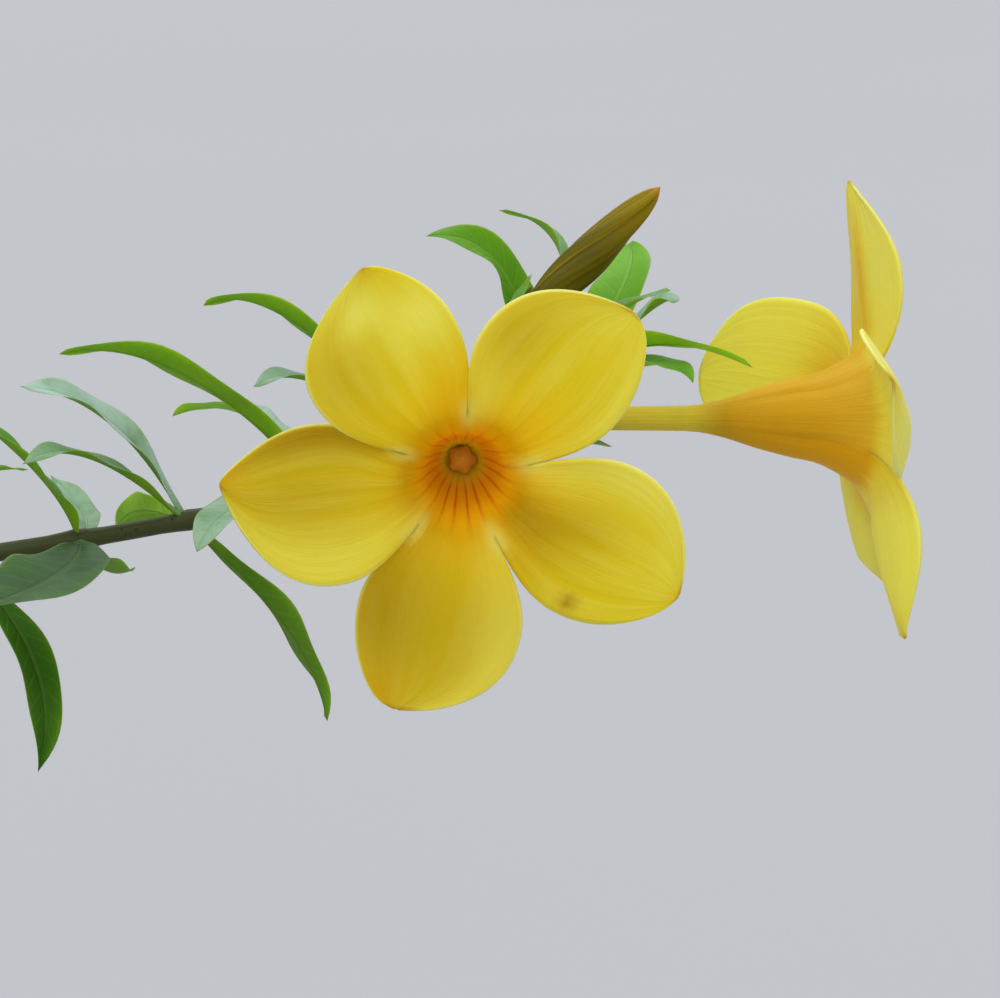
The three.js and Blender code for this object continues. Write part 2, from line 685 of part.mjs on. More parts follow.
const materials = {
  clay: new THREE.MeshStandardMaterial({ color: 0xb5653f, roughness: 0.85 }),
  soil: new THREE.MeshStandardMaterial({ color: 0x3a2a1e, roughness: 0.95 }),
  foliage: new THREE.MeshStandardMaterial({ color: 0x3f7a24, roughness: 0.42 }),
  petal: new THREE.MeshStandardMaterial({ color: 0xf2d21f, roughness: 0.5 }),
  bud: new THREE.MeshStandardMaterial({ color: 0xa39a2a, roughness: 0.5 }),
};

/** The pot: a tapered clay shell with a banded rim and drain holes in its floor. */
function potGeometry() {
  const profile = [
    [0, 0],
    [POT_FOOT_RADIUS, 0],
    [POT_SHOULDER_RADIUS, BAND_FOOT],
    [POT_SHOULDER_RADIUS + RIM_BAND_STEP, BAND_FOOT],
    [POT_RIM_RADIUS, POT_HEIGHT],
    [POT_RIM_RADIUS - POT_WALL - RIM_THINNING, POT_HEIGHT],
    [POT_SHOULDER_RADIUS - POT_WALL, BAND_FOOT],
    [POT_FOOT_RADIUS - POT_WALL, POT_WALL],
    [0, POT_WALL],
  ].map(([radius, z]) => new THREE.Vector2(radius, z));
  const shell = new THREE.LatheGeometry(profile, POT_SIDES).rotateX(Math.PI / 2);
  const drains = [];
  for (let k = 0; k < DRAIN_COUNT; k++) {
    const centre = bearing(45 + (360 * k) / DRAIN_COUNT, 0).multiplyScalar(DRAIN_RING_RADIUS);
    const drill = new THREE.CylinderGeometry(DRAIN_RADIUS, DRAIN_RADIUS, 3 * POT_WALL, HOLE_SIDES);
    drains.push(solidOf(drill.rotateX(Math.PI / 2).translate(centre.x, centre.y, 0)));
  }
  return geometryOf(drains.reduce((pot, drain) => pot.subtract(drain), solidOf(shell)));
}

/** The soil: it fills the pot to a low dome, with a blind hole for each stem. */
function soilGeometry(roots) {
  const wallLean = (POT_SHOULDER_RADIUS - POT_FOOT_RADIUS) / (BAND_FOOT - POT_WALL);
  const floor = POT_WALL + FIT_GAP;
  const foot = POT_FOOT_RADIUS - POT_WALL - SOIL_SIDE_GAP;
  const shoulder = foot + (BAND_FOOT - floor) * wallLean;
  const edge = shoulder + SOIL_SPREAD;
  const profile = [
    [0, floor],
    [foot, floor],
    [shoulder, BAND_FOOT],
    [edge, SOIL_TOP],
    [edge / 2, SOIL_TOP + 0.75 * SOIL_DOME],
    [0, SOIL_TOP + SOIL_DOME],
  ].map(([radius, z]) => new THREE.Vector2(radius, z));
  const fill = solidOf(new THREE.LatheGeometry(profile, POT_SIDES).rotateX(Math.PI / 2));
  const radius = (STEM_FOOT_RADIUS + FIT_GAP) / Math.cos(Math.PI / HOLE_SIDES);
  const middle = ROOT_DEPTH - FIT_GAP + DRILL_LENGTH / 2;
  return geometryOf(
    roots.reduce((soil, root) => {
      const drill = new THREE.CylinderGeometry(radius, radius, DRILL_LENGTH, HOLE_SIDES);
      return soil.subtract(solidOf(drill.rotateX(Math.PI / 2).translate(root.x, root.y, middle)));
    }, fill),
  );
}

/** A stem with its leaves and the calyxes of its heads, as one solid. */
function leafyStemGeometry(stem) {
  const radiusAt = (t) => mix(STEM_FOOT_RADIUS, STEM_TIP_RADIUS, t ** STEM_TAPER);
  const parts = [solidOf(rod(stem.line, radiusAt, STEM_SIDES, stem.steps))];
  for (const leaf of stem.leaves) parts.push(leafSolid(leaf, LEAF_STATIONS, false));
  for (const leaf of stem.sprayLeaves) parts.push(leafSolid(leaf, SPRAY_LEAF_STATIONS, true));
  const tip = stem.line.pointAlong(stem.line.total);
  const direction = stem.line.directionAlong(stem.line.total);
  for (const head of stem.heads) {
    parts.push(solidOf(pedicelGeometry(head, tip, direction)));
    parts.push(solidOf(calyxGeometry().applyMatrix4(head.frame)));
  }
  return geometryOf(joined(parts));
}

/** The front stem with the heads and leaves of its spray. */
function frontStem() {
  const frontAxis = sprayDirection(0.03, -0.165, 1).normalize();
  const sideAxis = sprayDirection(0.978, 0.003, -0.208).normalize();
  const budAxis = sprayDirection(0.7, 0.683, -0.208).normalize();
  const up = sprayDirection(0, 1, 0);
  const mouthHead = (mouth, axis, size) =>
    headFrame(mouth.addScaledVector(axis, -MOUTH_AT * size), axis, up, size);
  const budTip = sprayPoint(34.2, 52, -60);
  const budSize = 1.05;
  return {
    line: sprayStemLine(),
    steps: SPRAY_STEM_STEPS,
    sprayLeaves: SPRAY_LEAVES.map(([node, bend, tip, face, width]) => ({
      foot: SPRAY_NODES[node],
      bend: sprayPoint(...bend),
      tip: sprayPoint(...tip),
      face: sprayDirection(...face),
      width,
    })),
    blooms: [
      { frame: mouthHead(sprayPoint(0, 0, 0), frontAxis, 1), petals: FRONT_PETALS },
      {
        frame: mouthHead(sprayPoint(68.2, 11, -54), sideAxis, 1.05),
        petals: SIDE_PETALS,
      },
    ],
    buds: [
      { frame: headFrame(budTip.addScaledVector(budAxis, -BUD_LENGTH * budSize), budAxis, up, budSize) },
    ],
  };
}

/** Another stem, with the heads that stand at its tip. */
function otherStem(row, blooms, buds) {
  const line = otherStemLine(row);
  return {
    line,
    steps: STEM_STEPS,
    sprayLeaves: [],
    blooms: blooms.map(([turn, pitch, size, start]) => ({
      ...tipHead(line, bearing(turn, pitch), size),
      petals: evenPetals(start),
    })),
    buds: buds.map(([turn, pitch, size]) => tipHead(line, bearing(turn, pitch), size)),
  };
}

// The heads at the other stems' tips: bearing and pitch of the axis, size, and petal turn
const OTHER_HEADS = [
  { blooms: [[150, 38, 0.98, 20]], buds: [[70, 62, 0.9]] },
  { blooms: [[195, 8, 1.02, 50]], buds: [] },
  { blooms: [], buds: [[206, -5, 1]] },
  { blooms: [], buds: [[255, 48, 0.85]] },
  { blooms: [[48, 20, 1, 35]], buds: [[100, 45, 0.95]] },
  { blooms: [], buds: [] },
  { blooms: [], buds: [] },
];

const stems = [
  frontStem(),
  ...OTHER_STEMS.map((row, k) => otherStem(row, OTHER_HEADS[k].blooms, OTHER_HEADS[k].buds)),
];

const clearings = new Clearings();
const keepHeadClear = (point, frame) =>
  clearings.add(point.applyMatrix4(frame), NO_OWNER, CLEAR_OF_HEAD, 0);
stems.forEach((stem, owner) => {
  stem.heads = [...stem.blooms, ...stem.buds];
  for (let at = 0; at < stem.line.total; at += STEM_PROBE_SPACING)
    clearings.add(stem.line.pointAlong(at), owner, CLEAR_OF_STEM, 0);
  for (const { frame, petals } of stem.blooms) {
    for (const at of BLOOM_PROBES) keepHeadClear(vec(0, 0, at), frame);
    for (const petal of petals)
      for (const v of PETAL_PROBES) keepHeadClear(petalPoint(petal, 0, v), frame);
  }
  for (const { frame } of stem.buds)
    for (const at of BUD_PROBES) keepHeadClear(vec(0, 0, at), frame);
  for (const leaf of stem.sprayLeaves) clearings.addLeaf(leaf, owner);
});
stems.forEach((stem, owner) => {
  const front = owner === 0;
  const from = stem.line.total - (front ? SPRAY_LENGTH : TIP_BARE);
  const seed = front ? FRONT_SPRAY_SEED : OTHER_STEMS[owner - 1].seed;
  stem.leaves = whorls(stem.line, from, owner, seed, clearings);
});

const group = new THREE.Group();

function addPiece(name, geometry, material) {
  const mesh = new THREE.Mesh(geometry, material);
  mesh.name = name;
  group.add(mesh);
  return mesh;
}

addPiece("pot", potGeometry(), materials.clay);
addPiece("soil", soilGeometry(stems.map((stem) => stem.line.points[0])), materials.soil);
stems.forEach((stem, k) => {
  addPiece(`leafy_stem_${k + 1}`, leafyStemGeometry(stem), materials.foliage);
});
stems.flatMap((stem) => stem.blooms).forEach(({ frame, petals }, k) => {
  const fine = k < 2;
  const corolla = corollaGeometry(petals, fine ? 4 : 2, fine ? 4 : 3);
  addPiece(`bloom_${k + 1}`, corolla, materials.petal).applyMatrix4(frame);
});
stems.flatMap((stem) => stem.buds).forEach(({ frame }, k) => {
  addPiece(`bud_${k + 1}`, budGeometry(), materials.bud).applyMatrix4(frame);
});

export default group;
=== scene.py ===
"""Dresses a potted allamanda: clay pot, soil, leafy stems, yellow blooms and buds.

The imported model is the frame. Each of its nodes gets finer pieces in its place: the pot is
spun, stems and leaves are swept, and each corolla is one formed sheet with a wall of its own.
Sizes are in millimetres until a piece is handed over, which scales it to metres.
"""

import logging
import math
from dataclasses import dataclass, field
from enum import Enum
from typing import Callable, Iterable, Sequence

import bmesh
import bpy
from mathutils import Matrix, Vector, noise

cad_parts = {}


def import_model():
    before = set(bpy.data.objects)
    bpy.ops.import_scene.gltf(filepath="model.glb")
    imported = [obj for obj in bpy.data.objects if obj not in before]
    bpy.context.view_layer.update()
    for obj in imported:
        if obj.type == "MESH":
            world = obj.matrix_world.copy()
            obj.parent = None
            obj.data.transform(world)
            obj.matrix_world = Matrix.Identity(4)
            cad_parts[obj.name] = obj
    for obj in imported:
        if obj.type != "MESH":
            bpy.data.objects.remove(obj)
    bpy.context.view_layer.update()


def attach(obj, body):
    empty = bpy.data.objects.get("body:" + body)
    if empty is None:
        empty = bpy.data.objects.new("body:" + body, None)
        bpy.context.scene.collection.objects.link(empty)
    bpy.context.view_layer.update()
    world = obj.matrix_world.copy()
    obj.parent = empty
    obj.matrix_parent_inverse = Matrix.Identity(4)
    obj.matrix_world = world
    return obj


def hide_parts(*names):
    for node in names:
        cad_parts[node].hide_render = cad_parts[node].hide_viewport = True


LOG = logging.getLogger("allamanda")
MM = 0.001
BODY = "root"

Place = Callable[[float, float], Vector]
Span = Callable[[float, float], tuple[float, float]]
Mark = float | Callable[[float, float], float]
Colour = tuple[float, float, float, float]


class Slot(Enum):
    """The record's material slots."""

    CLAY = "clay"
    SOIL = "soil"
    FOLIAGE = "foliage"
    PETAL = "petal"
    BUD = "bud"


def srgb(red: int, green: int, blue: int) -> Colour:
    """A colour for a shader from its screen values.

    Args:
        red: Red, from 0 to 255.
        green: Green, from 0 to 255.
        blue: Blue, from 0 to 255.

    Returns:
        The colour in linear light, with an alpha of 1.
    """

    def linear(level: float) -> float:
        """One channel in linear light."""
        share = level / 255
        return share / 12.92 if share <= 0.04045 else ((share + 0.055) / 1.055) ** 2.4

    return (linear(red), linear(green), linear(blue), 1.0)


def mix(low: float, high: float, share: float) -> float:
    """A number between two others, at that share of the way."""
    return low + (high - low) * share


def smooth(value: float, low: float = 0.0, high: float = 1.0) -> float:
    """A smooth step from 0 at low to 1 at high."""
    share = min(1.0, max(0.0, (value - low) / (high - low)))
    return share * share * (3 - 2 * share)


def bell(distance: float, width: float) -> float:
    """A rounded hump: 1 at no distance, falling off over width."""
    return math.exp(-((distance / width) ** 2))


# Shader maths


class Value:
    """A number socket of a material. Arithmetic on it adds Math nodes."""

    def __init__(self, paint: "Paint", socket: bpy.types.NodeSocket) -> None:
        """Wraps a socket.

        Args:
            paint: The material that the socket is in.
            socket: The socket that gives the number.
        """
        self.paint = paint
        self.socket = socket

    def math(self, operation: str, *others: "Value | float", flipped: bool = False) -> "Value":
        """A Math node on this value.

        Args:
            operation: The Math node's operation.
            others: The other operands.
            flipped: Whether this value comes after the first other operand.

        Returns:
            The node's result.
        """
        operands = [self, *others]
        if flipped:
            operands[0], operands[1] = operands[1], operands[0]
        made = self.paint.node("ShaderNodeMath", {"operation": operation}, dict(enumerate(operands)))
        return Value(self.paint, made.outputs[0])

    def __add__(self, other: "Value | float") -> "Value":
        """The sum."""
        return self.math("ADD", other)

    __radd__ = __add__

    def __sub__(self, other: "Value | float") -> "Value":
        """The difference."""
        return self.math("SUBTRACT", other)

    def __rsub__(self, other: float) -> "Value":
        """The difference, taken from a number."""
        return self.math("SUBTRACT", other, flipped=True)

    def __mul__(self, other: "Value | float") -> "Value":
        """The product."""
        return self.math("MULTIPLY", other)

    __rmul__ = __mul__

    def size(self) -> "Value":
        """The value without its sign."""
        return self.math("ABSOLUTE")

    def cos(self) -> "Value":
        """The cosine."""
        return self.math("COSINE")

    def step(self, low: float, high: float) -> "Value":
        """A smooth step from 0 at low to 1 at high, or down from 1 if high is below low."""
        if high < low:
            return 1 - self.step(high, low)
        settings = {"interpolation_type": "SMOOTHSTEP"}
        links = {"Value": self, "From Min": low, "From Max": high}
        made = self.paint.node("ShaderNodeMapRange", settings, links)
        return Value(self.paint, made.outputs["Result"])


class Paint:
    """A material whose nodes are added by expressions."""

    def __init__(self, name: str) -> None:
        """Starts a material with one Principled shader.

        Args:
            name: The material's name.
        """
        self.material = bpy.data.materials.new(name)
        self.material.use_nodes = True
        self.tree = self.material.node_tree
        self.shader = self.tree.nodes["Principled BSDF"]

    def node(
        self, kind: str, settings: dict | None = None, inputs: dict | None = None
    ) -> bpy.types.Node:
        """Adds a node.

        Args:
            kind: The node's type.
            settings: Its properties, which are set first.
            inputs: Values or links of its sockets, by name or number.

        Returns:
            The new node.
        """
        made = self.tree.nodes.new(kind)
        for key, value in (settings or {}).items():
            setattr(made, key, value)
        for key, value in (inputs or {}).items():
            self.feed(made.inputs[key], value)
        return made

    def feed(self, socket: bpy.types.NodeSocket, value: object) -> None:
        """Sets a socket to a value or links it."""
        if isinstance(value, Value):
            self.tree.links.new(value.socket, socket)
        elif isinstance(value, bpy.types.NodeSocket):
            self.tree.links.new(value, socket)
        else:
            socket.default_value = value

    def surface(self, **sockets: object) -> None:
        """Sets sockets of the shader. An underscore stands for a space in a socket's name."""
        for key, value in sockets.items():
            self.feed(self.shader.inputs[key.replace("_", " ")], value)

    def place(self) -> bpy.types.NodeSocket:
        """The Object coordinates."""
        return self.node("ShaderNodeTexCoord").outputs["Object"]

    def span(self) -> tuple[Value, Value]:
        """The piece's own map: the place across its form and the place along it."""
        chart = self.node("ShaderNodeUVMap", {"uv_map": "span"})
        parts = self.node("ShaderNodeSeparateXYZ", None, {0: chart.outputs["UV"]})
        return Value(self, parts.outputs["X"]), Value(self, parts.outputs["Y"])

    def mark(self, name: str) -> Value:
        """A number that the mesh carries under that name."""
        return Value(self, self.node("ShaderNodeAttribute", {"attribute_name": name}).outputs["Fac"])

    def stretched(
        self, vector: bpy.types.NodeSocket, scale: tuple[float, float, float]
    ) -> bpy.types.NodeSocket:
        """Coordinates scaled by a factor along each axis."""
        links = {0: vector, 1: scale}
        return self.node("ShaderNodeVectorMath", {"operation": "MULTIPLY"}, links).outputs[0]

    def join(self, x: Value | float, y: Value | float, z: Value | float = 0.0) -> bpy.types.NodeSocket:
        """A vector of three numbers."""
        return self.node("ShaderNodeCombineXYZ", None, {0: x, 1: y, 2: z}).outputs[0]

    def noise(
        self, vector: bpy.types.NodeSocket, scale: float, detail: float = 3.0, rough: float = 0.55
    ) -> Value:
        """Cloudy noise from 0 to 1.

        Args:
            vector: The coordinates.
            scale: How many clouds there are to a unit.
            detail: How many finer layers it has.
            rough: How strong the finer layers are.

        Returns:
            The noise.
        """
        links = {"Vector": vector, "Scale": scale, "Detail": detail, "Roughness": rough}
        return Value(self, self.node("ShaderNodeTexNoise", None, links).outputs["Fac"])

    def cells(self, vector: bpy.types.NodeSocket, scale: float) -> Value:
        """The distance to the nearest of many scattered points."""
        links = {"Vector": vector, "Scale": scale}
        return Value(self, self.node("ShaderNodeTexVoronoi", None, links).outputs["Distance"])

    def blend(self, factor: Value, low: object, high: object) -> bpy.types.NodeSocket:
        """A colour between two, by a factor."""
        made = self.node("ShaderNodeMix", {"data_type": "RGBA"}, {"Factor": factor})
        colours = [socket for socket in made.inputs if socket.type == "RGBA"]
        self.feed(colours[0], low)
        self.feed(colours[1], high)
        return next(socket for socket in made.outputs if socket.type == "RGBA")

    def bump(self, height: Value, depth: float) -> None:
        """Raises the surface by a height, with that depth in metres."""
        links = {"Height": height, "Distance": depth, "Strength": 1.0}
        self.surface(Normal=self.node("ShaderNodeBump", None, links).outputs["Normal"])


# Finishes


@dataclass(frozen=True)
class ClayFinish:
    """Unglazed fired clay, with a pale bloom of salts and fine grit."""

    body: Colour = srgb(176, 98, 62)
    dark: Colour = srgb(142, 74, 46)
    salt: Colour = srgb(206, 164, 138)
    salt_foot: float = 0.05

    def material(self) -> bpy.types.Material:
        """Builds the material.

        Returns:
            The material.
        """
        paint = Paint("fired_clay")
        place = paint.place()
        height = Value(paint, paint.node("ShaderNodeSeparateXYZ", None, {0: place}).outputs["Z"])
        cloud = paint.noise(place, 22, 5)
        grit = paint.noise(place, 900, 2)
        colour = paint.blend(cloud.step(0.35, 0.7), self.body, self.dark)
        salts = paint.noise(place, 38, 6, 0.7).step(0.5, 0.72) * height.step(self.salt_foot * 2, 0.0)
        band = paint.noise(place, 60, 5, 0.7).step(0.54, 0.75) * 0.6
        colour = paint.blend(salts * 0.8, colour, self.salt)
        colour = paint.blend(band * 0.5, colour, self.salt)
        colour = paint.blend(grit.step(0.6, 0.75) * 0.25, colour, self.dark)
        paint.surface(Base_Color=colour, Roughness=cloud * 0.15 + 0.76, Specular_IOR_Level=0.3)
        rings = paint.noise(paint.stretched(place, (4, 4, 260)), 1.0, 2)
        paint.bump(grit * 0.35 + cloud * 0.3 + rings * 0.5, 0.0009)
        return paint.material


@dataclass(frozen=True)
class SoilFinish:
    """Dark potting soil."""

    dark: Colour = srgb(38, 27, 20)
    light: Colour = srgb(84, 62, 46)

    def material(self) -> bpy.types.Material:
        """Builds the material.

        Returns:
            The material.
        """
        paint = Paint("potting_soil")
        place = paint.place()
        grain = paint.noise(place, 420, 6, 0.7)
        patch = paint.noise(place, 55, 3)
        lightness = grain.step(0.4, 0.7) * 0.7 + patch.step(0.45, 0.75) * 0.25
        colour = paint.blend(lightness, self.dark, self.light)
        paint.surface(Base_Color=colour, Roughness=0.95, Specular_IOR_Level=0.2)
        paint.bump(grain + paint.cells(place, 600) * 0.8, 0.0012)
        return paint.material


@dataclass(frozen=True)
class CrumbFinish:
    """The crumbs on the soil: earth, bark chips and white volcanic grit, by their tone."""

    earth: Colour = srgb(58, 41, 30)
    bark: Colour = srgb(112, 76, 50)
    grit: Colour = srgb(216, 212, 202)
    # Painted shade: a near black brown for the crevices between the grains of a crumb.
    crevice_shade: Colour = srgb(30, 22, 17)

    def material(self) -> bpy.types.Material:
        """Builds the material.

        Returns:
            The material.
        """
        paint = Paint("soil_crumbs")
        place = paint.place()
        tone = paint.mark("tone")
        grain = paint.noise(place, 700, 4, 0.7)
        colour = paint.blend(tone.step(0.3, 0.4), self.earth, self.bark)
        colour = paint.blend(tone.step(0.8, 0.9), colour, self.grit)
        # Painted shade: dark specks by grain noise, standing for shade in the crumbs' crevices.
        colour = paint.blend(grain.step(0.45, 0.8) * 0.5, colour, self.crevice_shade)
        paint.surface(Base_Color=colour, Roughness=0.92, Specular_IOR_Level=0.25)
        paint.bump(grain, 0.0008)
        return paint.material


@dataclass(frozen=True)
class WoodFinish:
    """A stem's skin: grey brown wood at its foot, brown green and then green towards its tip."""

    wood: Colour = srgb(104, 84, 62)
    bark: Colour = srgb(58, 66, 24)
    young: Colour = srgb(70, 92, 24)
    grain: Colour = srgb(58, 56, 26)
    pore: Colour = srgb(128, 112, 80)

    def material(self) -> bpy.types.Material:
        """Builds the material.

        Returns:
            The material.
        """
        paint = Paint("stem_skin")
        place = paint.place()
        age = paint.mark("tone")
        grain = paint.noise(place, 300, 4)
        pores = paint.cells(place, 520).step(0.16, 0.05)
        colour = paint.blend(age.step(0.0, 0.14), self.young, self.bark)
        colour = paint.blend(age.step(0.55, 1.0), colour, self.wood)
        colour = paint.blend(grain.step(0.4, 0.75) * 0.35, colour, self.grain)
        colour = paint.blend(pores * age.step(0.25, 0.9) * 0.7, colour, self.pore)
        paint.surface(Base_Color=colour, Roughness=grain * 0.2 + 0.42, Specular_IOR_Level=0.25)
        paint.bump(grain * 0.6 + pores * 0.5, 0.0005)
        return paint.material


@dataclass(frozen=True)
class LeafFinish:
    """A living leaf. Its tone runs from dark and old, 0, to bright and young, 1, and its tint
    mark is a pale blue grey sheen, the sky's reflection painted on its upper face."""

    dark: Colour = srgb(34, 68, 12)
    bright: Colour = srgb(104, 166, 6)
    under_dark: Colour = srgb(66, 98, 28)
    under_bright: Colour = srgb(150, 196, 36)
    rib: Colour = srgb(140, 178, 74)
    patch: Colour = srgb(70, 120, 10)
    # Painted reflection: the pale blue grey sheen of the sky on the upper face.
    painted_sheen: Colour = srgb(166, 196, 182)
    margin: Colour = srgb(172, 204, 120)
    veins: float = 11

    def material(self) -> bpy.types.Material:
        """Builds the material.

        Returns:
            The material.
        """
        paint = Paint("leaf")
        place = paint.place()
        turn, along = paint.span()
        tone = paint.mark("tone")
        under = turn.step(0.96, 1.04)
        beside = (turn.math("FRACT") * 2 - 1).size()
        cloud = paint.noise(place, 130, 3)
        ribs = ((along * self.veins - beside * 1.1 + cloud * 0.5) * (2 * math.pi)).cos()
        vein = ribs.step(0.6, 1.0) * beside.step(1.0, 0.7) * beside.step(0.05, 0.25)
        midrib = beside.step(0.14, 0.04)
        face = paint.blend(tone, self.dark, self.bright)
        back = paint.blend(tone, self.under_dark, self.under_bright)
        colour = paint.blend(under, face, back)
        colour = paint.blend(cloud.step(0.35, 0.75) * 0.25, colour, self.patch)
        # Painted reflection: the sky's sheen on the upper face, by the tint mark, in clouds.
        painted_sheen = paint.mark("tint") * (1 - under) * cloud.step(0.1, 0.6)
        colour = paint.blend(painted_sheen, colour, self.painted_sheen)
        colour = paint.blend(vein * 0.05 + midrib * (tone * 0.3 + 0.06), colour, self.rib)
        colour = paint.blend(beside.step(0.93, 1.0) * 0.25, colour, self.margin)
        colour = paint.blend(along.step(0.1, 0.0) * 0.5, colour, self.rib)
        paint.surface(
            Base_Color=colour,
            Roughness=under * 0.2 + cloud * 0.12 + 0.4,
            Specular_IOR_Level=0.12,
            Coat_Weight=painted_sheen * 0.35,
            Coat_Roughness=0.35,
            Subsurface_Weight=0.3,
            Subsurface_Radius=(0.6, 1.0, 0.1),
            Subsurface_Scale=0.0015,
        )
        paint.bump(cloud * 0.4 - vein * 0.3 - midrib * 0.8, 0.0002)
        return paint.material


@dataclass(frozen=True)
class SepalFinish:
    """The green skin of a flower's stalk and calyx."""

    green: Colour = srgb(96, 146, 34)
    dark: Colour = srgb(70, 116, 26)
    tip: Colour = srgb(146, 164, 62)

    def material(self) -> bpy.types.Material:
        """Builds the material.

        Returns:
            The material.
        """
        paint = Paint("calyx_skin")
        place = paint.place()
        _, along = paint.span()
        cloud = paint.noise(place, 300, 4)
        colour = paint.blend(cloud.step(0.4, 0.7) * 0.4, self.green, self.dark)
        colour = paint.blend(along.step(0.7, 1.0) * 0.6, colour, self.tip)
        paint.surface(
            Base_Color=colour,
            Roughness=0.4,
            Specular_IOR_Level=0.45,
            Subsurface_Weight=0.15,
            Subsurface_Scale=0.0008,
        )
        paint.bump(cloud, 0.0003)
        return paint.material


class Face(Enum):
    """The two faces of a corolla's sheet."""

    INNER = "inner"
    OUTER = "outer"


@dataclass(frozen=True)
class PetalFinish:
    """A corolla's skin. Its map runs across each petal, and from the tube's foot, 0, past the
    mouth, 1, to a petal's tip, 2. Its tint mark is golden, its shade mark is painted shade in
    olive and its light mark is a painted highlight in pale yellow."""

    lemon: Colour = srgb(214, 191, 24)
    # Pale yellow, for the paler streaks and for the painted highlights.
    pale: Colour = srgb(236, 222, 100)
    full: Colour = srgb(230, 190, 0)
    golden: Colour = srgb(218, 166, 0)
    # The olive of the painted shade.
    olive: Colour = srgb(154, 128, 0)
    wall: Colour = srgb(208, 154, 0)
    orange: Colour = srgb(255, 176, 8)
    rust: Colour = srgb(206, 92, 4)
    throat: Colour = srgb(246, 206, 70)
    fold: Colour = srgb(230, 216, 110)
    # A painted highlight along the petals' margins.
    rim: Colour = srgb(240, 234, 150)
    back: Colour = srgb(232, 220, 88)
    tube: Colour = srgb(255, 208, 66)
    tip: Colour = srgb(176, 118, 20)
    stripes: float = 4

    def material(self, face: Face) -> bpy.types.Material:
        """Builds the material of one face.

        Args:
            face: Which face of the sheet it is for.

        Returns:
            The material.
        """
        paint = Paint(f"petal_{face.value}")
        turn, along = paint.span()
        across = turn * 2 - 1
        beside = across.size()
        own = paint.mark("tone")
        cloud = paint.noise(paint.place(), 60, 2)
        fan = paint.noise(paint.join(across * 3.5 + own * 7, along * 1.1), 1.0, 2, 0.5)
        fine = paint.noise(paint.join(across * 14 + own * 13, along * 1.4), 1.0, 3, 0.55)
        base = self.lemon if face is Face.INNER else self.back
        colour = paint.blend(fan.step(0.35, 0.7) * 0.3, base, self.pale)
        colour = paint.blend(along.step(1.5, 1.05) * cloud.step(0.2, 0.6) * 0.7, colour, self.full)
        colour = paint.blend(fine.step(0.45, 0.8) * along.step(1.95, 1.2) * 0.25, colour, self.golden)
        wash = along + fan * 0.16 - 0.08
        if face is Face.INNER:
            colour = paint.blend(wash.step(1.22, 0.96) * 0.8, colour, self.golden)
        else:
            colour = paint.blend(wash.step(1.1, 0.98) * 0.9, colour, self.wall)
            colour = paint.blend(along.step(0.56, 0.42) * 0.9, colour, self.tube)
        colour = paint.blend(paint.mark("tint"), colour, self.golden)
        # Painted shade in olive, then painted highlights in pale yellow, where the shade and light
        # marks say.
        colour = paint.blend(paint.mark("shade"), colour, self.olive)
        colour = paint.blend(paint.mark("light"), colour, self.pale)
        # Painted highlight: a pale line along the margins, where light catches the edge.
        rim = beside.step(0.95, 1.0) * along.step(1.15, 1.4)
        colour = paint.blend(rim * 0.5, colour, self.rim)
        if face is Face.INNER:
            colour = paint.blend(wash.step(0.99, 0.82), colour, self.orange)
            sway = paint.noise(paint.join(across * 2 + own * 9, along * 4), 1.0, 2) * 1.6
            line = (across * (self.stripes * math.pi) + sway).cos().step(0.5, 1.0)
            line = line * along.step(0.5, 0.6) * wash.step(1.02, 0.78)
            colour = paint.blend(line * (own * 0.6 + 0.2), colour, self.rust)
            colour = paint.blend(along.step(0.68, 0.58) * 0.7, colour, self.throat)
            corner = beside.step(0.66, 1.0) * (along - 1.03).size().step(0.12, 0.02)
            colour = paint.blend(corner * 0.55, colour, self.fold)
        point = (along + beside * 0.01 + cloud * 0.02).step(1.985, 2.02)
        colour = paint.blend(point * 0.7, colour, self.tip)
        paint.surface(
            Base_Color=colour,
            Roughness=fine * 0.1 + 0.52,
            Specular_IOR_Level=0.12,
            Subsurface_Weight=0.8,
            Subsurface_Radius=(1.0, 0.8, 0.15),
            Subsurface_Scale=0.0025,
        )
        paint.bump(fine * 0.5 + fan * 0.8, 0.0004)
        return paint.material


@dataclass(frozen=True)
class CoronaFinish:
    """The fringe of hairy scales that closes the tube."""

    foot: Colour = srgb(255, 190, 30)
    top: Colour = srgb(255, 206, 60)
    hollow: Colour = srgb(255, 184, 40)

    def material(self) -> bpy.types.Material:
        """Builds the material.

        Returns:
            The material.
        """
        paint = Paint("throat_scales")
        _, along = paint.span()
        fur = paint.noise(paint.place(), 2200, 3, 0.7)
        colour = paint.blend(along.step(0.3, 0.7), self.foot, self.top)
        colour = paint.blend(fur.step(0.4, 0.7) * 0.4, colour, self.hollow)
        paint.surface(Base_Color=colour, Roughness=0.75)
        paint.bump(fur, 0.0003)
        return paint.material


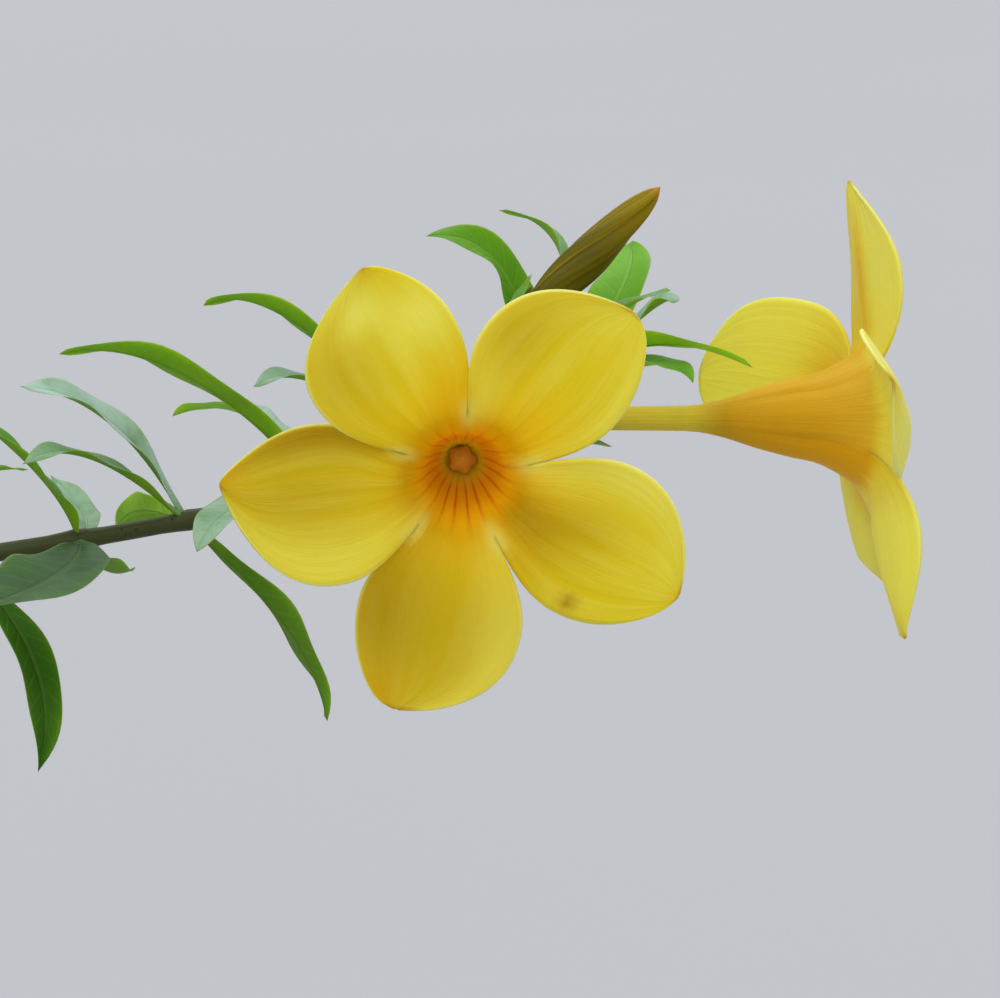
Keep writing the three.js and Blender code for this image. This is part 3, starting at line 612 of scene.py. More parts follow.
@dataclass(frozen=True)
class BudFinish:
    """A closed bud: olive at its foot, yellow along the wound edges with a painted highlight on each
    edge, brown at its tip.
    """

    olive: Colour = srgb(100, 92, 0)
    dark: Colour = srgb(78, 72, 0)
    # A pale cream, painted as a highlight along each wound edge.
    edge: Colour = srgb(186, 166, 60)
    gold: Colour = srgb(154, 132, 0)
    tip: Colour = srgb(190, 126, 30)

    def material(self) -> bpy.types.Material:
        """Builds the material.

        Returns:
            The material.
        """
        paint = Paint("bud_skin")
        turn, along = paint.span()
        cloud = paint.noise(paint.place(), 120, 3)
        streaks = paint.noise(paint.join(turn * 24, along * 1.6), 1.0, 3, 0.55)
        petal = (turn * PETAL_COUNT).math("FRACT")
        colour = paint.blend(streaks.step(0.3, 0.75), self.olive, self.dark)
        colour = paint.blend(along.step(0.5, 0.95) * 0.7, colour, self.gold)
        colour = paint.blend(petal.step(0.6, 0.97) * 0.2, colour, self.gold)
        # Painted highlight: a pale line along each petal's edge.
        colour = paint.blend(petal.step(0.92, 0.99) * 0.25, colour, self.edge)
        colour = paint.blend(cloud.step(0.5, 0.8) * along.step(0.4, 0.8) * 0.3, colour, self.tip)
        colour = paint.blend((along + cloud * 0.06).step(0.95, 1.02) * 0.8, colour, self.tip)
        paint.surface(
            Base_Color=colour,
            Roughness=streaks * 0.15 + 0.45,
            Specular_IOR_Level=0.12,
            Subsurface_Weight=0.12,
            Subsurface_Scale=0.001,
        )
        paint.bump(streaks * 0.5 + cloud * 0.4, 0.0002)
        return paint.material


# Mesh building


class Form:
    """A mesh under construction, in millimetres, with a map of its own and four marks."""

    MARKS = ("tone", "tint", "shade", "light")
    WELD_GAP = 0.002
    CORNER_CUTS = 4
    LONG_STRETCH = 8

    def __init__(self) -> None:
        """Starts an empty form."""
        self.bm = bmesh.new()
        self.chart = self.bm.loops.layers.uv.new("span")
        self.marks = {name: self.bm.verts.layers.float.new(name) for name in self.MARKS}

    def patch(
        self,
        columns: int,
        rows: int,
        place: Place,
        span: Span = lambda u, v: (u, v),
        material: int = 0,
        **marks: Mark,
    ) -> None:
        """Adds a grid and moves its points by a formula.

        Args:
            columns: Faces across the grid.
            rows: Faces along the grid.
            place: Gives the point at u across and v along, each from 0 to 1.
            span: Gives the map's coordinates at u and v.
            material: The material's number.
            marks: The marks by name, each as one number or by u and v.
        """
        made = bmesh.ops.create_grid(self.bm, x_segments=columns, y_segments=rows, size=1.0)["verts"]
        for face in {face for vert in made for face in vert.link_faces}:
            face.smooth = True
            face.material_index = material
            for corner in face.loops:
                spot = corner.vert.co
                corner[self.chart].uv = span((spot.x + 1) / 2, (spot.y + 1) / 2)
        for vert in made:
            u, v = (vert.co.x + 1) / 2, (vert.co.y + 1) / 2
            for name, mark in marks.items():
                vert[self.marks[name]] = mark(u, v) if callable(mark) else mark
            vert.co = place(u, v)
        self.weld(made)

    def weld(self, verts: Iterable[bmesh.types.BMVert], gap: float = WELD_GAP) -> None:
        """Merges points that lie together, and drops faces left with no area."""
        bmesh.ops.remove_doubles(self.bm, verts=list(verts), dist=gap)

    def revolve(
        self, profile: Sequence[tuple[float, float]], sides: int, rounding: float, cuts: int
    ) -> None:
        """Spins a profile about the axis into a closed solid.

        Args:
            profile: Radius and height of each corner, from the axis back to the axis.
            sides: Steps of the spin.
            rounding: How far each corner is rounded.
            cuts: Rings added to each long stretch.
        """
        corners = [self.bm.verts.new((radius, 0, height)) for radius, height in profile]
        for start, end in zip(corners, corners[1:]):
            self.bm.edges.new((start, end))
        bmesh.ops.bevel(
            self.bm,
            geom=corners[1:-1],
            offset=rounding,
            offset_type="OFFSET",
            segments=self.CORNER_CUTS,
            profile=0.5,
            affect="VERTICES",
            clamp_overlap=True,
            material=-1,
        )
        longest = self.LONG_STRETCH * rounding
        stretches = [edge for edge in self.bm.edges if edge.calc_length() > longest]
        bmesh.ops.subdivide_edges(self.bm, edges=stretches, cuts=cuts)
        bmesh.ops.spin(
            self.bm,
            geom=self.bm.verts[:] + self.bm.edges[:],
            cent=(0, 0, 0),
            axis=(0, 0, 1),
            angle=2 * math.pi,
            steps=sides,
            use_merge=True,
        )
        self.weld(self.bm.verts)
        bmesh.ops.recalc_face_normals(self.bm, faces=self.bm.faces)
        for face in self.bm.faces:
            face.smooth = True

    def place_in(self, frame: Matrix) -> None:
        """Moves the whole form from a head's own frame to the part's frame."""
        bmesh.ops.transform(self.bm, matrix=frame, verts=self.bm.verts)

    def finish(self, name: str, materials: Sequence[bpy.types.Material]) -> bpy.types.Object:
        """Makes the object, in metres.

        Args:
            name: The piece's name.
            materials: Its materials, in the order of their numbers.

        Returns:
            The new object.
        """
        bmesh.ops.scale(self.bm, vec=(MM, MM, MM), verts=self.bm.verts)
        mesh = bpy.data.meshes.new(name)
        self.bm.to_mesh(mesh)
        self.bm.free()
        for material in materials:
            mesh.materials.append(material)
        piece = bpy.data.objects.new(name, mesh)
        bpy.context.scene.collection.objects.link(piece)
        return piece


def hand_over(piece: bpy.types.Object, slot: Slot, *nodes: str) -> None:
    """Registers a piece with the frame and reports it.

    Args:
        piece: The finished piece.
        slot: Its material slot in the record. It is not used.
        nodes: The nodes that it stands for.
    """
    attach(piece, BODY)
    if nodes:
        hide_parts(*nodes)
    faces = sum(len(polygon.vertices) - 2 for polygon in piece.data.polygons)
    LOG.info("%s: %d triangles, for %s", piece.name, faces, ", ".join(nodes) or "no node")


@dataclass(frozen=True)
class Section:
    """A place on a swept form: its centre, and the directions to its side and up."""

    centre: Vector
    side: Vector
    up: Vector

    def at(self, x: float, y: float) -> Vector:
        """The point that far to the side and up."""
        return self.centre + self.side * x + self.up * y


def sections_along(points: Sequence[Vector]) -> list[Section]:
    """Sections along a row of points, each turned as little as can be from the last.

    Args:
        points: The row of centres.

    Returns:
        A section for each point.
    """
    made: list[Section] = []
    side = Vector((0, 0, 1)).cross(points[1] - points[0])
    if side.length < NEARLY_UPRIGHT:
        side = Vector((1, 0, 0))
    for index, point in enumerate(points):
        before = points[max(0, index - 1)]
        after = points[min(len(points) - 1, index + 1)]
        along = (after - before).normalized()
        side = (side - along * side.dot(along)).normalized()
        made.append(Section(point, side, along.cross(side)))
    return made


def tube(
    form: Form,
    sections: Sequence[Section],
    sides: int,
    radius: Callable[[float, float], float],
    tone: Mark = 0.5,
    material: int = 0,
) -> None:
    """Sweeps a round section along sections and closes both ends.

    Args:
        form: The form to add to.
        sections: The sections from foot to tip.
        sides: Faces round the tube.
        radius: Gives the radius at a share of the turn and a share of the length.
        tone: The tone mark.
        material: The material's number.
    """
    rows = len(sections) + 1

    def place(u: float, v: float) -> Vector:
        """A point of the tube. The first and last rows close its ends."""
        row = round(v * rows)
        section = sections[min(max(row - 1, 0), len(sections) - 1)]
        if row in (0, rows):
            return section.centre
        turn = 2 * math.pi * u
        reach = radius(u, (row - 1) / (len(sections) - 1))
        return section.at(reach * math.cos(turn), reach * math.sin(turn))

    form.patch(sides, rows, place, tone=tone, material=material)


def rounded(points: Sequence[tuple[float, float]], share: float) -> tuple[float, float]:
    """A point of the smooth curve through a row of points.

    Args:
        points: The row, each a pair of numbers.
        share: How far along the curve, from 0 to 1, with equal shares between points.

    Returns:
        The point.
    """
    reach = share * (len(points) - 1)
    index = min(int(reach), len(points) - 2)
    step = reach - index
    last = len(points) - 1
    start, end = points[index], points[index + 1]
    before = points[index - 1] if index > 0 else tuple(2 * a - b for a, b in zip(start, end))
    after = points[index + 2] if index + 2 <= last else tuple(2 * b - a for a, b in zip(start, end))
    result = []
    for x0, x1, x2, x3 in zip(before, start, end, after):
        pull, push = (x2 - x0) / 2, (x3 - x1) / 2
        curve = 2 * x1 - 2 * x2 + pull + push
        bend = -3 * x1 + 3 * x2 - 2 * pull - push
        result.append(((curve * step + bend) * step + pull) * step + x1)
    return tuple(result)


def bezier(points: Sequence[Vector], share: float) -> Vector:
    """A point of the Bezier curve that those points steer."""
    row = list(points)
    while len(row) > 1:
        row = [start.lerp(end, share) for start, end in zip(row, row[1:])]
    return row[0]


# The plant's plan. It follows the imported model's own rules, so each piece lies where its node is.

PETAL_COUNT = 5
VIEW_DOWN = math.radians(10)
SPRAY_AT = Vector((250, -45, 360))
NEARLY_UPRIGHT = 0.05


def spray_direction(x: float, y: float, z: float) -> Vector:
    """A direction of the spray's frame, x right, y up and z to the viewer, in the part's frame."""
    rise, level = math.sin(VIEW_DOWN), math.cos(VIEW_DOWN)
    return Vector((x, y * rise - z * level, y * level + z * rise))


def spray_point(x: float, y: float, z: float) -> Vector:
    """A point of the spray's frame in the part's frame."""
    return spray_direction(x, y, z) + SPRAY_AT


def bearing(turn: float, pitch: float = 0.0) -> Vector:
    """A direction from its bearing about +Z and its height above the level, in degrees."""
    level = math.cos(math.radians(pitch))
    east, north = math.cos(math.radians(turn)), math.sin(math.radians(turn))
    return Vector((level * east, level * north, math.sin(math.radians(pitch))))


class Draw:
    """A seeded row of numbers that is the same on every run."""

    SPREAD = 1664525
    STEP = 1013904223
    RANGE = 2**32

    def __init__(self, seed: int) -> None:
        """Starts the row from a seed."""
        self.state = seed

    def between(self, low: float, high: float) -> float:
        """The next number, between two limits."""
        self.state = (self.state * self.SPREAD + self.STEP) % self.RANGE
        return mix(low, high, self.state / self.RANGE)


class StemLine:
    """A stem's middle line as a row of points, with its length up to each."""

    def __init__(self, points: Sequence[Vector]) -> None:
        """Measures the line.

        Args:
            points: The row of points from the root to the tip.
        """
        self.points = list(points)
        self.reached = [0.0]
        for start, end in zip(self.points, self.points[1:]):
            self.reached.append(self.reached[-1] + (end - start).length)
        self.total = self.reached[-1]

    def segment(self, distance: float) -> int:
        """The number of the point that ends the stretch at a distance."""
        index = 1
        while index < len(self.points) - 1 and self.reached[index] < distance:
            index += 1
        return index

    def point(self, distance: float) -> Vector:
        """The point at a distance along the line."""
        index = self.segment(distance)
        gone = distance - self.reached[index - 1]
        return self.points[index - 1].lerp(
            self.points[index], gone / (self.reached[index] - self.reached[index - 1])
        )

    def direction(self, distance: float) -> Vector:
        """The line's direction at a distance along it."""
        index = self.segment(distance)
        return (self.points[index] - self.points[index - 1]).normalized()


@dataclass(frozen=True)
class Leaf:
    """A leaf's plan: its arching middle line, the way its face looks, its width and its looks."""

    foot: Vector
    bend: Vector
    tip: Vector
    face: Vector
    width: float
    fold: float
    tone: float
    # How much painted sky sheen its upper face gets.
    painted_sheen: float

    def point(self, share: float) -> Vector:
        """A point of the leaf's middle line."""
        return bezier((self.foot, self.bend, self.tip), share)

    def tangent(self, share: float) -> Vector:
        """The middle line's direction at a share of its length."""
        return (self.bend - self.foot).lerp(self.tip - self.bend, share).normalized()


@dataclass(frozen=True)
class ColourAndLightSpot:
    """A soft spot on a petal, which makes up its golden colour, its painted shade and its painted
    highlights: its place across and along, its spread and strength.
    """

    u: float
    v: float
    wide: float
    long: float
    strength: float

    def at(self, u: float, v: float) -> float:
        """How strong the spot is at a place on the petal."""
        return self.strength * bell(u - self.u, self.wide) * bell(v - self.v, self.long)


@dataclass(frozen=True)
class Petal:
    """A petal's plan, by its bearing round the mouth and how it leans, reaches and twists."""

    bearing: float
    reflex: float
    length: float = 1.0
    twist: float = 0.16
    width: float = 1.0
    shift: float = 4.5
    bluntness: float = 0.3
    widest_at: float = 0.45
    cup: float = 1.2
    golden: tuple[ColourAndLightSpot, ...] = (ColourAndLightSpot(-0.4, 0.1, 0.5, 0.25, 0.4),)
    # By default each petal gets painted shade in olive towards one edge and a painted highlight in pale
    # yellow towards the other.
    olive: tuple[ColourAndLightSpot, ...] = (ColourAndLightSpot(-0.8, 0.5, 0.3, 0.5, 0.4),)
    pale: tuple[ColourAndLightSpot, ...] = (ColourAndLightSpot(0.7, 0.6, 0.4, 0.5, 0.4),)
    lines: float = 0.6


@dataclass(frozen=True)
class Head:
    """A bloom or a bud: the frame of its foot, with +Z along its axis, and its petals."""

    frame: Matrix
    petals: tuple[Petal, ...] = ()

    @property
    def axis(self) -> Vector:
        """The direction of the head's axis in the part's frame."""
        return self.frame.to_3x3().col[2].normalized()


def head_frame(foot: Vector, axis: Vector, up: Vector, size: float) -> Matrix:
    """The frame of a head's foot.

    Args:
        foot: Where the tube or the bud starts.
        axis: The direction that it points in.
        up: The direction that its +Y keeps nearest to.
        size: Its scale.

    Returns:
        The frame, with its scale.
    """
    ahead = axis.normalized()
    right = up.cross(ahead).normalized()
    top = ahead.cross(right)
    turned = Matrix((right, top, ahead)).transposed().to_4x4()
    return Matrix.Translation(foot) @ turned @ Matrix.Scale(size, 4)


@dataclass
class Stem:
    """A stem's plan: its line, its heads and its leaves."""

    line: StemLine
    blooms: list[Head]
    buds: list[Head]
    spray_leaves: list[Leaf]
    leaf_start: float
    seed: int
    whorl_leaves: list[Leaf] = field(default_factory=list)

    @property
    def leaves(self) -> list[Leaf]:
        """All of the stem's leaves."""
        return [*self.spray_leaves, *self.whorl_leaves]


@dataclass
class Clearings:
    """What the leaves keep clear of: points, whose they are, and the room that they need."""

    probes: tuple[float, ...] = (0.3, 0.55, 0.8, 1.0)
    leaf_room: float = 15
    own_leaf_room: float = 6
    lowest: float = 176
    open_side_start: float = 152
    open_side_bottom: float = 268
    taken: list[tuple[Vector, int, float, float]] = field(default_factory=list)

    def add(self, point: Vector, owner: int, room: float, own_room: float) -> None:
        """Keeps a point clear."""
        self.taken.append((point, owner, room, own_room))

    def add_leaf(self, leaf: Leaf, owner: int) -> None:
        """Keeps a leaf's points clear."""
        for share in self.probes:
            self.add(leaf.point(share), owner, self.leaf_room, self.own_leaf_room)

    def allows(self, leaf: Leaf, owner: int) -> bool:
        """Tells whether a leaf has its room.

        Args:
            leaf: The leaf to try.
            owner: The number of its stem.

        Returns:
            Whether every probe of the leaf is clear.
        """
        spots = [leaf.point(share) for share in self.probes]
        if any(spot.z < self.lowest for spot in spots):
            return False
        if any(spot.x > self.open_side_start and spot.z > self.open_side_bottom for spot in spots):
            return False
        for point, whose, room, own_room in self.taken:
            need = own_room if whose == owner else room
            if any((spot - point).length < need for spot in spots):
                return False
        return True


@dataclass(frozen=True)
class Corolla:
    """A corolla: a thin tube that widens to a mouth, with five petals round it."""

    mouth_at: float = 51
    mouth_radius: float = 10.7
    petal_length: float = 30.5
    half_width: float = 13.8
    foot_share: float = 0.6
    narrowing: float = 2.2
    tip_power: int = 7
    tip_end: float = 0.03
    cup_rest: float = 0.4
    seat_end: float = 0.35
    flare_angle: float = math.radians(54)
    flare_length: float = 3.6
    flare_steps: int = 24
    wall: float = 0.5
    ripple: float = 0.56
    edge_ripple: float = 0.8
    broad_ripple: float = 0.45
    fold_depth: float = 0.5
    fold_at: float = -0.08
    fold_width: float = 0.16
    pleat: float = 0.45
    pleat_width: float = 0.22
    pleat_rise: tuple[float, float] = (26, 44)
    pleat_fall: tuple[float, float] = (49, 51)
    column_crowding: float = 0.25
    row_crowding: float = 1.7
    weld_gap: float = 0.01
    columns: int = 18
    funnel_rows: int = 26
    petal_rows: int = 30
    profile: tuple[tuple[float, float], ...] = (
        (1.7, 0),
        (1.75, 8),
        (1.8, 16),
        (2.0, 23.5),
        (3.0, 28.5),
        (4.75, 34),
        (6.2, 39.5),
        (7.5, 45),
        (10.7, 51),
    )

    def reach(self, distance: float, reflex: float) -> tuple[float, float]:
        """The sheet's line out along a petal, as reach from the axis and height.

        Args:
            distance: How far out from the mouth.
            reflex: How far the petal bends back, in radians.

        Returns:
            The reach and the height.
        """
        reach, height = self.mouth_radius, self.mouth_at
        step = distance / self.flare_steps
        for index in range(self.flare_steps):
            gone = max(0.0, (index + 0.5) * step)
            angle = mix(-reflex, self.flare_angle, math.exp(-gone / self.flare_length))
            reach += math.cos(angle) * step
            height += math.sin(angle) * step
        return reach, height

    def half(self, petal: Petal, share: float) -> float:
        """A petal's half width at a share of its length."""
        widest = self.half_width * petal.width
        if share < petal.widest_at:
            grown = math.sin(math.pi / 2 * max(0.0, share) / petal.widest_at)
            return widest * mix(self.foot_share, 1, grown)
        past = (share - petal.widest_at) / (1 - petal.widest_at)
        return widest * max(self.tip_end, (1 - past**self.narrowing) ** (1 - petal.bluntness))

    def petal_point(self, petal: Petal, u: float, v: float, seat: float) -> Vector:
        """A point of a petal.

        Args:
            petal: The petal's plan.
            u: The place across it, from -1 to 1.
            v: The place out along it, from 0 to 1.
            seat: The angle from the petal's own bearing at which u meets the mouth.

        Returns:
            The point in the head's frame.
        """
        reach, height = self.reach(v * self.petal_length * petal.length, math.radians(petal.reflex))
        opened = smooth(v / self.seat_end)
        half = self.half(petal, v)
        shift = petal.shift * max(0.0, v) ** self.tip_power
        across = mix(reach * math.sin(seat), u * half - shift, opened)
        out = mix(reach * math.cos(seat), reach, opened)
        cup = petal.cup * half / self.half_width * (u * u - self.cup_rest)
        lift = opened * (petal.twist * u * half + cup)
        turn = math.radians(petal.bearing)
        c, s = math.cos(turn), math.sin(turn)
        return Vector((out * c - across * s, out * s + across * c, height + lift))

    def relief(self, petal: Petal, u: float, v: float) -> float:
        """How far a petal's surface rises above its plain form, by soft folds and ripples."""
        opened = smooth(v / self.seat_end)
        fold = self.fold_depth * bell(u - self.fold_at, self.fold_width)
        fold *= smooth(v, 0.0, 0.3) * (1 - smooth(v, 0.55, 0.95))
        edge = self.edge_ripple * abs(u) ** 4 * math.sin(7 * v + petal.bearing)
        wave = self.broad_ripple * math.sin(4.2 * u + 3 * v + petal.bearing)
        return opened * ((edge + wave) * self.ripple - fold)

    def build(self, petals: Sequence[Petal]) -> Form:
        """Builds the sheet in the head's frame, its faces looking out of the funnel.

        Args:
            petals: The five petals.

        Returns:
            The form, of which the wall is still to be thickened.
        """
        form = Form()
        order = sorted(petals, key=lambda petal: petal.bearing)
        for index, petal in enumerate(order):
            after = order[(index + 1) % PETAL_COUNT].bearing + (360 if index == PETAL_COUNT - 1 else 0)
            before = order[index - 1].bearing - (360 if index == 0 else 0)
            left = math.radians(after - petal.bearing) / 2
            right = math.radians(petal.bearing - before) / 2
            self.sector(form, petal, left, right)
        form.weld(form.bm.verts, self.weld_gap)
        return form

    def sector(self, form: Form, petal: Petal, left: float, right: float) -> None:
        """Adds a fifth of the funnel and the petal on it.

        Args:
            form: The form to add to.
            petal: The petal.
            left: The angle from the petal's bearing to the next petal's side.
            right: The angle to the side of the petal before it.
        """

        def seat(u: float) -> float:
            """The angle from the petal's bearing at a place across the sector."""
            return u * (left if u > 0 else right)

        def across(share: float) -> float:
            """The place across the sector, with its columns closer at the edges."""
            u = 2 * share - 1
            return u * (1 + self.column_crowding * (1 - u * u))

        def outward(v: float) -> float:
            """How far out along the petal a row is, with the rows closer at its tip."""
            return 1 - (1 - v) ** self.row_crowding

        def spot_marks(reached: Callable[[float], float]) -> dict[str, Mark]:
            """The marks that the golden spots, the painted shade and the painted highlights leave, by
            how far out along the petal a row is.
            """

            def spot_mark(spots: Sequence[ColourAndLightSpot]) -> Mark:
                """The mark of one kind of spot."""
                return lambda u, v: min(1.0, sum(spot.at(across(u), reached(v)) for spot in spots))

            kinds = {"tint": petal.golden, "shade": petal.olive, "light": petal.pale}
            return {name: spot_mark(spots) for name, spots in kinds.items()}

        def funnel(share: float, v: float) -> Vector:
            """A point of the funnel."""
            u = across(share)
            radius, height = rounded(self.profile, v)
            pleat = self.pleat * smooth(height, *self.pleat_rise)
            pleat *= 1 - smooth(height, *self.pleat_fall)
            radius -= pleat * (bell(abs(u) - 1, self.pleat_width) - 0.35 * bell(u, 0.2))
            turn = math.radians(petal.bearing) + seat(u)
            return Vector((radius * math.cos(turn), radius * math.sin(turn), height))

        def blade(share: float, v: float) -> Vector:
            """A point of the petal."""
            u, out = across(share), outward(v)
            point = self.petal_point(petal, u, out, seat(u))
            point.z += self.relief(petal, u, out) * (1 - smooth(out, 0.93, 1.0))
            return point

        def row_height(v: float) -> float:
            """How far up the funnel a row is, as a share of its height."""
            return rounded(self.profile, v)[1] / self.mouth_at

        form.patch(
            self.columns,
            self.funnel_rows,
            funnel,
            span=lambda u, v: ((across(u) + 1) / 2, row_height(v)),
            tone=petal.lines,
            **spot_marks(lambda v: row_height(v) - 1),
        )
        form.patch(
            self.columns,
            self.petal_rows,
            blade,
            span=lambda u, v: ((across(u) + 1) / 2, 1 + outward(v)),
            tone=petal.lines,
            **spot_marks(outward),
        )


@dataclass(frozen=True)
class Corona:
    """The five hairy scales that close the tube just under the funnel."""

    foot: float = 23.5
    profile: tuple[tuple[float, float], ...] = (
        (0, 0),
        (1.2, 0.3),
        (1.6, 2.5),
        (2.3, 4.8),
        (2.2, 6.2),
        (1.1, 7.3),
        (0, 7.7),
    )
    lobe: float = 0.12
    tuft: float = 0.04
    tufts: int = 23
    sides: int = 40
    rows: int = 24

    def build(self) -> Form:
        """Builds the scales in the head's frame.

        Returns:
            The form.
        """
        form = Form()

        def place(u: float, v: float) -> Vector:
            """A point of the scales."""
            radius, height = rounded(self.profile, v)
            turn = 2 * math.pi * u
            lobes = 1 + self.lobe * math.cos(PETAL_COUNT * turn) * smooth(v, 0.3, 0.6)
            radius = max(0.0, radius) * lobes * (1 + self.tuft * math.sin(self.tufts * turn + 9 * v))
            return Vector((radius * math.cos(turn), radius * math.sin(turn), self.foot + height))

        form.patch(self.sides, self.rows, place)
        return form


@dataclass(frozen=True)
class Bud:
    """A closed bud: a spindle of five petals wound round each other."""

    length: float = 36
    twist: float = 2.4
    ridge: float = 0.07
    lap: float = 0.42
    lap_crest: float = 0.86
    lap_edge: float = 0.93
    sides: int = 80
    rows: int = 60
    profile: tuple[tuple[float, float], ...] = (
        (0, 0),
        (1.6, 0.003),
        (2.1, 0.14),
        (2.9, 0.3),
        (3.3, 0.49),
        (2.85, 0.655),
        (2.3, 0.79),
        (1.75, 0.88),
        (1.1, 0.95),
        (0.0, 1.0),
    )

    def build(self) -> Form:
        """Builds the bud in the head's frame.

        Returns:
            The form.
        """
        form = Form()

        def place(u: float, v: float) -> Vector:
            """A point of the bud. Each petal's edge stands a little over the next one."""
            radius, share = rounded(self.profile, v)
            radius = max(0.0, radius)
            petal = (u * PETAL_COUNT) % 1.0
            lap = smooth(petal, 0.0, self.lap_crest) * (1 - smooth(petal, self.lap_edge, 1.0))
            swell = math.cos(2 * math.pi * (petal - 0.55))
            body = smooth(share, 0.12, 0.4) * (1 - 0.6 * smooth(share, 0.85, 1.0))
            radius += (self.lap * lap * body - 0.12) * smooth(radius, 0.0, 1.5)
            radius *= 1 + self.ridge * 0.6 * swell * body
            wound = 2 * math.pi * u + self.twist * share
            height = share * self.length
            return Vector((radius * math.cos(wound), radius * math.sin(wound), height))

        form.patch(self.sides, self.rows, place, span=lambda u, v: (u, rounded(self.profile, v)[1]))
        return form


@dataclass(frozen=True)
class Calyx:
    """Five pointed sepals on a receptacle, at the end of a stalk."""

    foot: float = -3.55
    sepal_length: float = 9.6
    sepal_width: float = 3.6
    sepal_foot: float = -0.6
    sepal_half_thickness: float = 0.3
    stalk_radius: float = 1.15
    stalk_swell: float = 0.12
    stalk_rows: int = 18
    stalk_sides: int = 12
    sepal_rows: int = 14
    sepal_sides: int = 12
    bowl_rows: int = 28
    bowl_sides: int = 30
    receptacle: tuple[tuple[float, float], ...] = (
        (0, -3.6),
        (1.2, -3.3),
        (1.9, -2.2),
        (2.8, -0.9),
        (3.0, 0.2),
        (2.6, 0.9),
        (2.3, 0.6),
        (0.0, -0.1),
    )

    def build(self, head: Head, tip: Vector, direction: Vector, form: Form) -> None:
        """Adds a head's calyx and its stalk to a stem's form.

        Args:
            head: The bloom or bud that it holds.
            tip: The stem's tip.
            direction: The stem's direction at its tip.
            form: The form to add to, in the part's frame.
        """
        self.stalk(head, tip, direction, form)

        def bowl(u: float, v: float) -> Vector:
            """A point of the receptacle."""
            radius, height = rounded(self.receptacle, v)
            turn = 2 * math.pi * u
            reach = max(0.0, radius) * (1 + 0.03 * math.cos(PETAL_COUNT * turn))
            return head.frame @ Vector((reach * math.cos(turn), reach * math.sin(turn), height))

        form.patch(self.bowl_sides, self.bowl_rows, bowl, span=lambda u, v: (u, 0.1), material=1)
        for index in range(PETAL_COUNT):
            self.sepal(head, 360 * (index + 0.5) / PETAL_COUNT, form)

    def sepal(self, head: Head, turn: float, form: Form) -> None:
        """Adds one sepal.

        Args:
            head: The head that it holds.
            turn: Its bearing round the head's axis, in degrees.
            form: The form to add to.
        """
        outward = bearing(turn)
        side = Vector((-outward.y, outward.x, 0))
        lean = 1.4 + 0.5 * math.sin(turn)

        def place(u: float, v: float) -> Vector:
            """A point of the sepal, which is pressed to the tube and curls out at its tip."""
            around = 2 * math.pi * u
            share = math.cos(around)
            half = self.sepal_width / 2 * math.sin(math.pi * (0.18 + 0.82 * v) ** 0.9) ** 0.8
            height = self.sepal_foot + self.sepal_length * v
            out = 2.5 + lean * smooth(v, 0.1, 0.7) + 0.7 * smooth(v, 0.7, 1.0)
            out -= 0.35 * share * share * half * (1 - v)
            thick = self.sepal_half_thickness * (1 - 0.75 * v)
            end = 0.0 if v in (0.0, 1.0) else 1.0
            spot = outward * (out + thick * math.sin(around) * -end) + side * (share * half * end)
            return head.frame @ (spot + Vector((0, 0, height)))

        form.patch(self.sepal_sides, self.sepal_rows, place, material=1)

    def stalk(self, head: Head, tip: Vector, direction: Vector, form: Form) -> None:
        """Adds the stalk, bent from the stem's tip to the calyx's foot."""
        base = head.frame @ Vector((0, 0, self.foot))
        gap = (base - tip).length
        steer = (
            tip - direction,
            tip + direction * (0.35 * gap),
            base - head.axis * (0.5 * gap),
            base + head.axis * 0.5,
        )
        spots = [bezier(steer, step / self.stalk_rows) for step in range(self.stalk_rows + 1)]

        def radius(_: float, v: float) -> float:
            """The stalk's radius, a little wider at its head."""
            return self.stalk_radius * (1 + self.stalk_swell * v * v)

        tube(form, sections_along(spots), self.stalk_sides, radius, material=1)


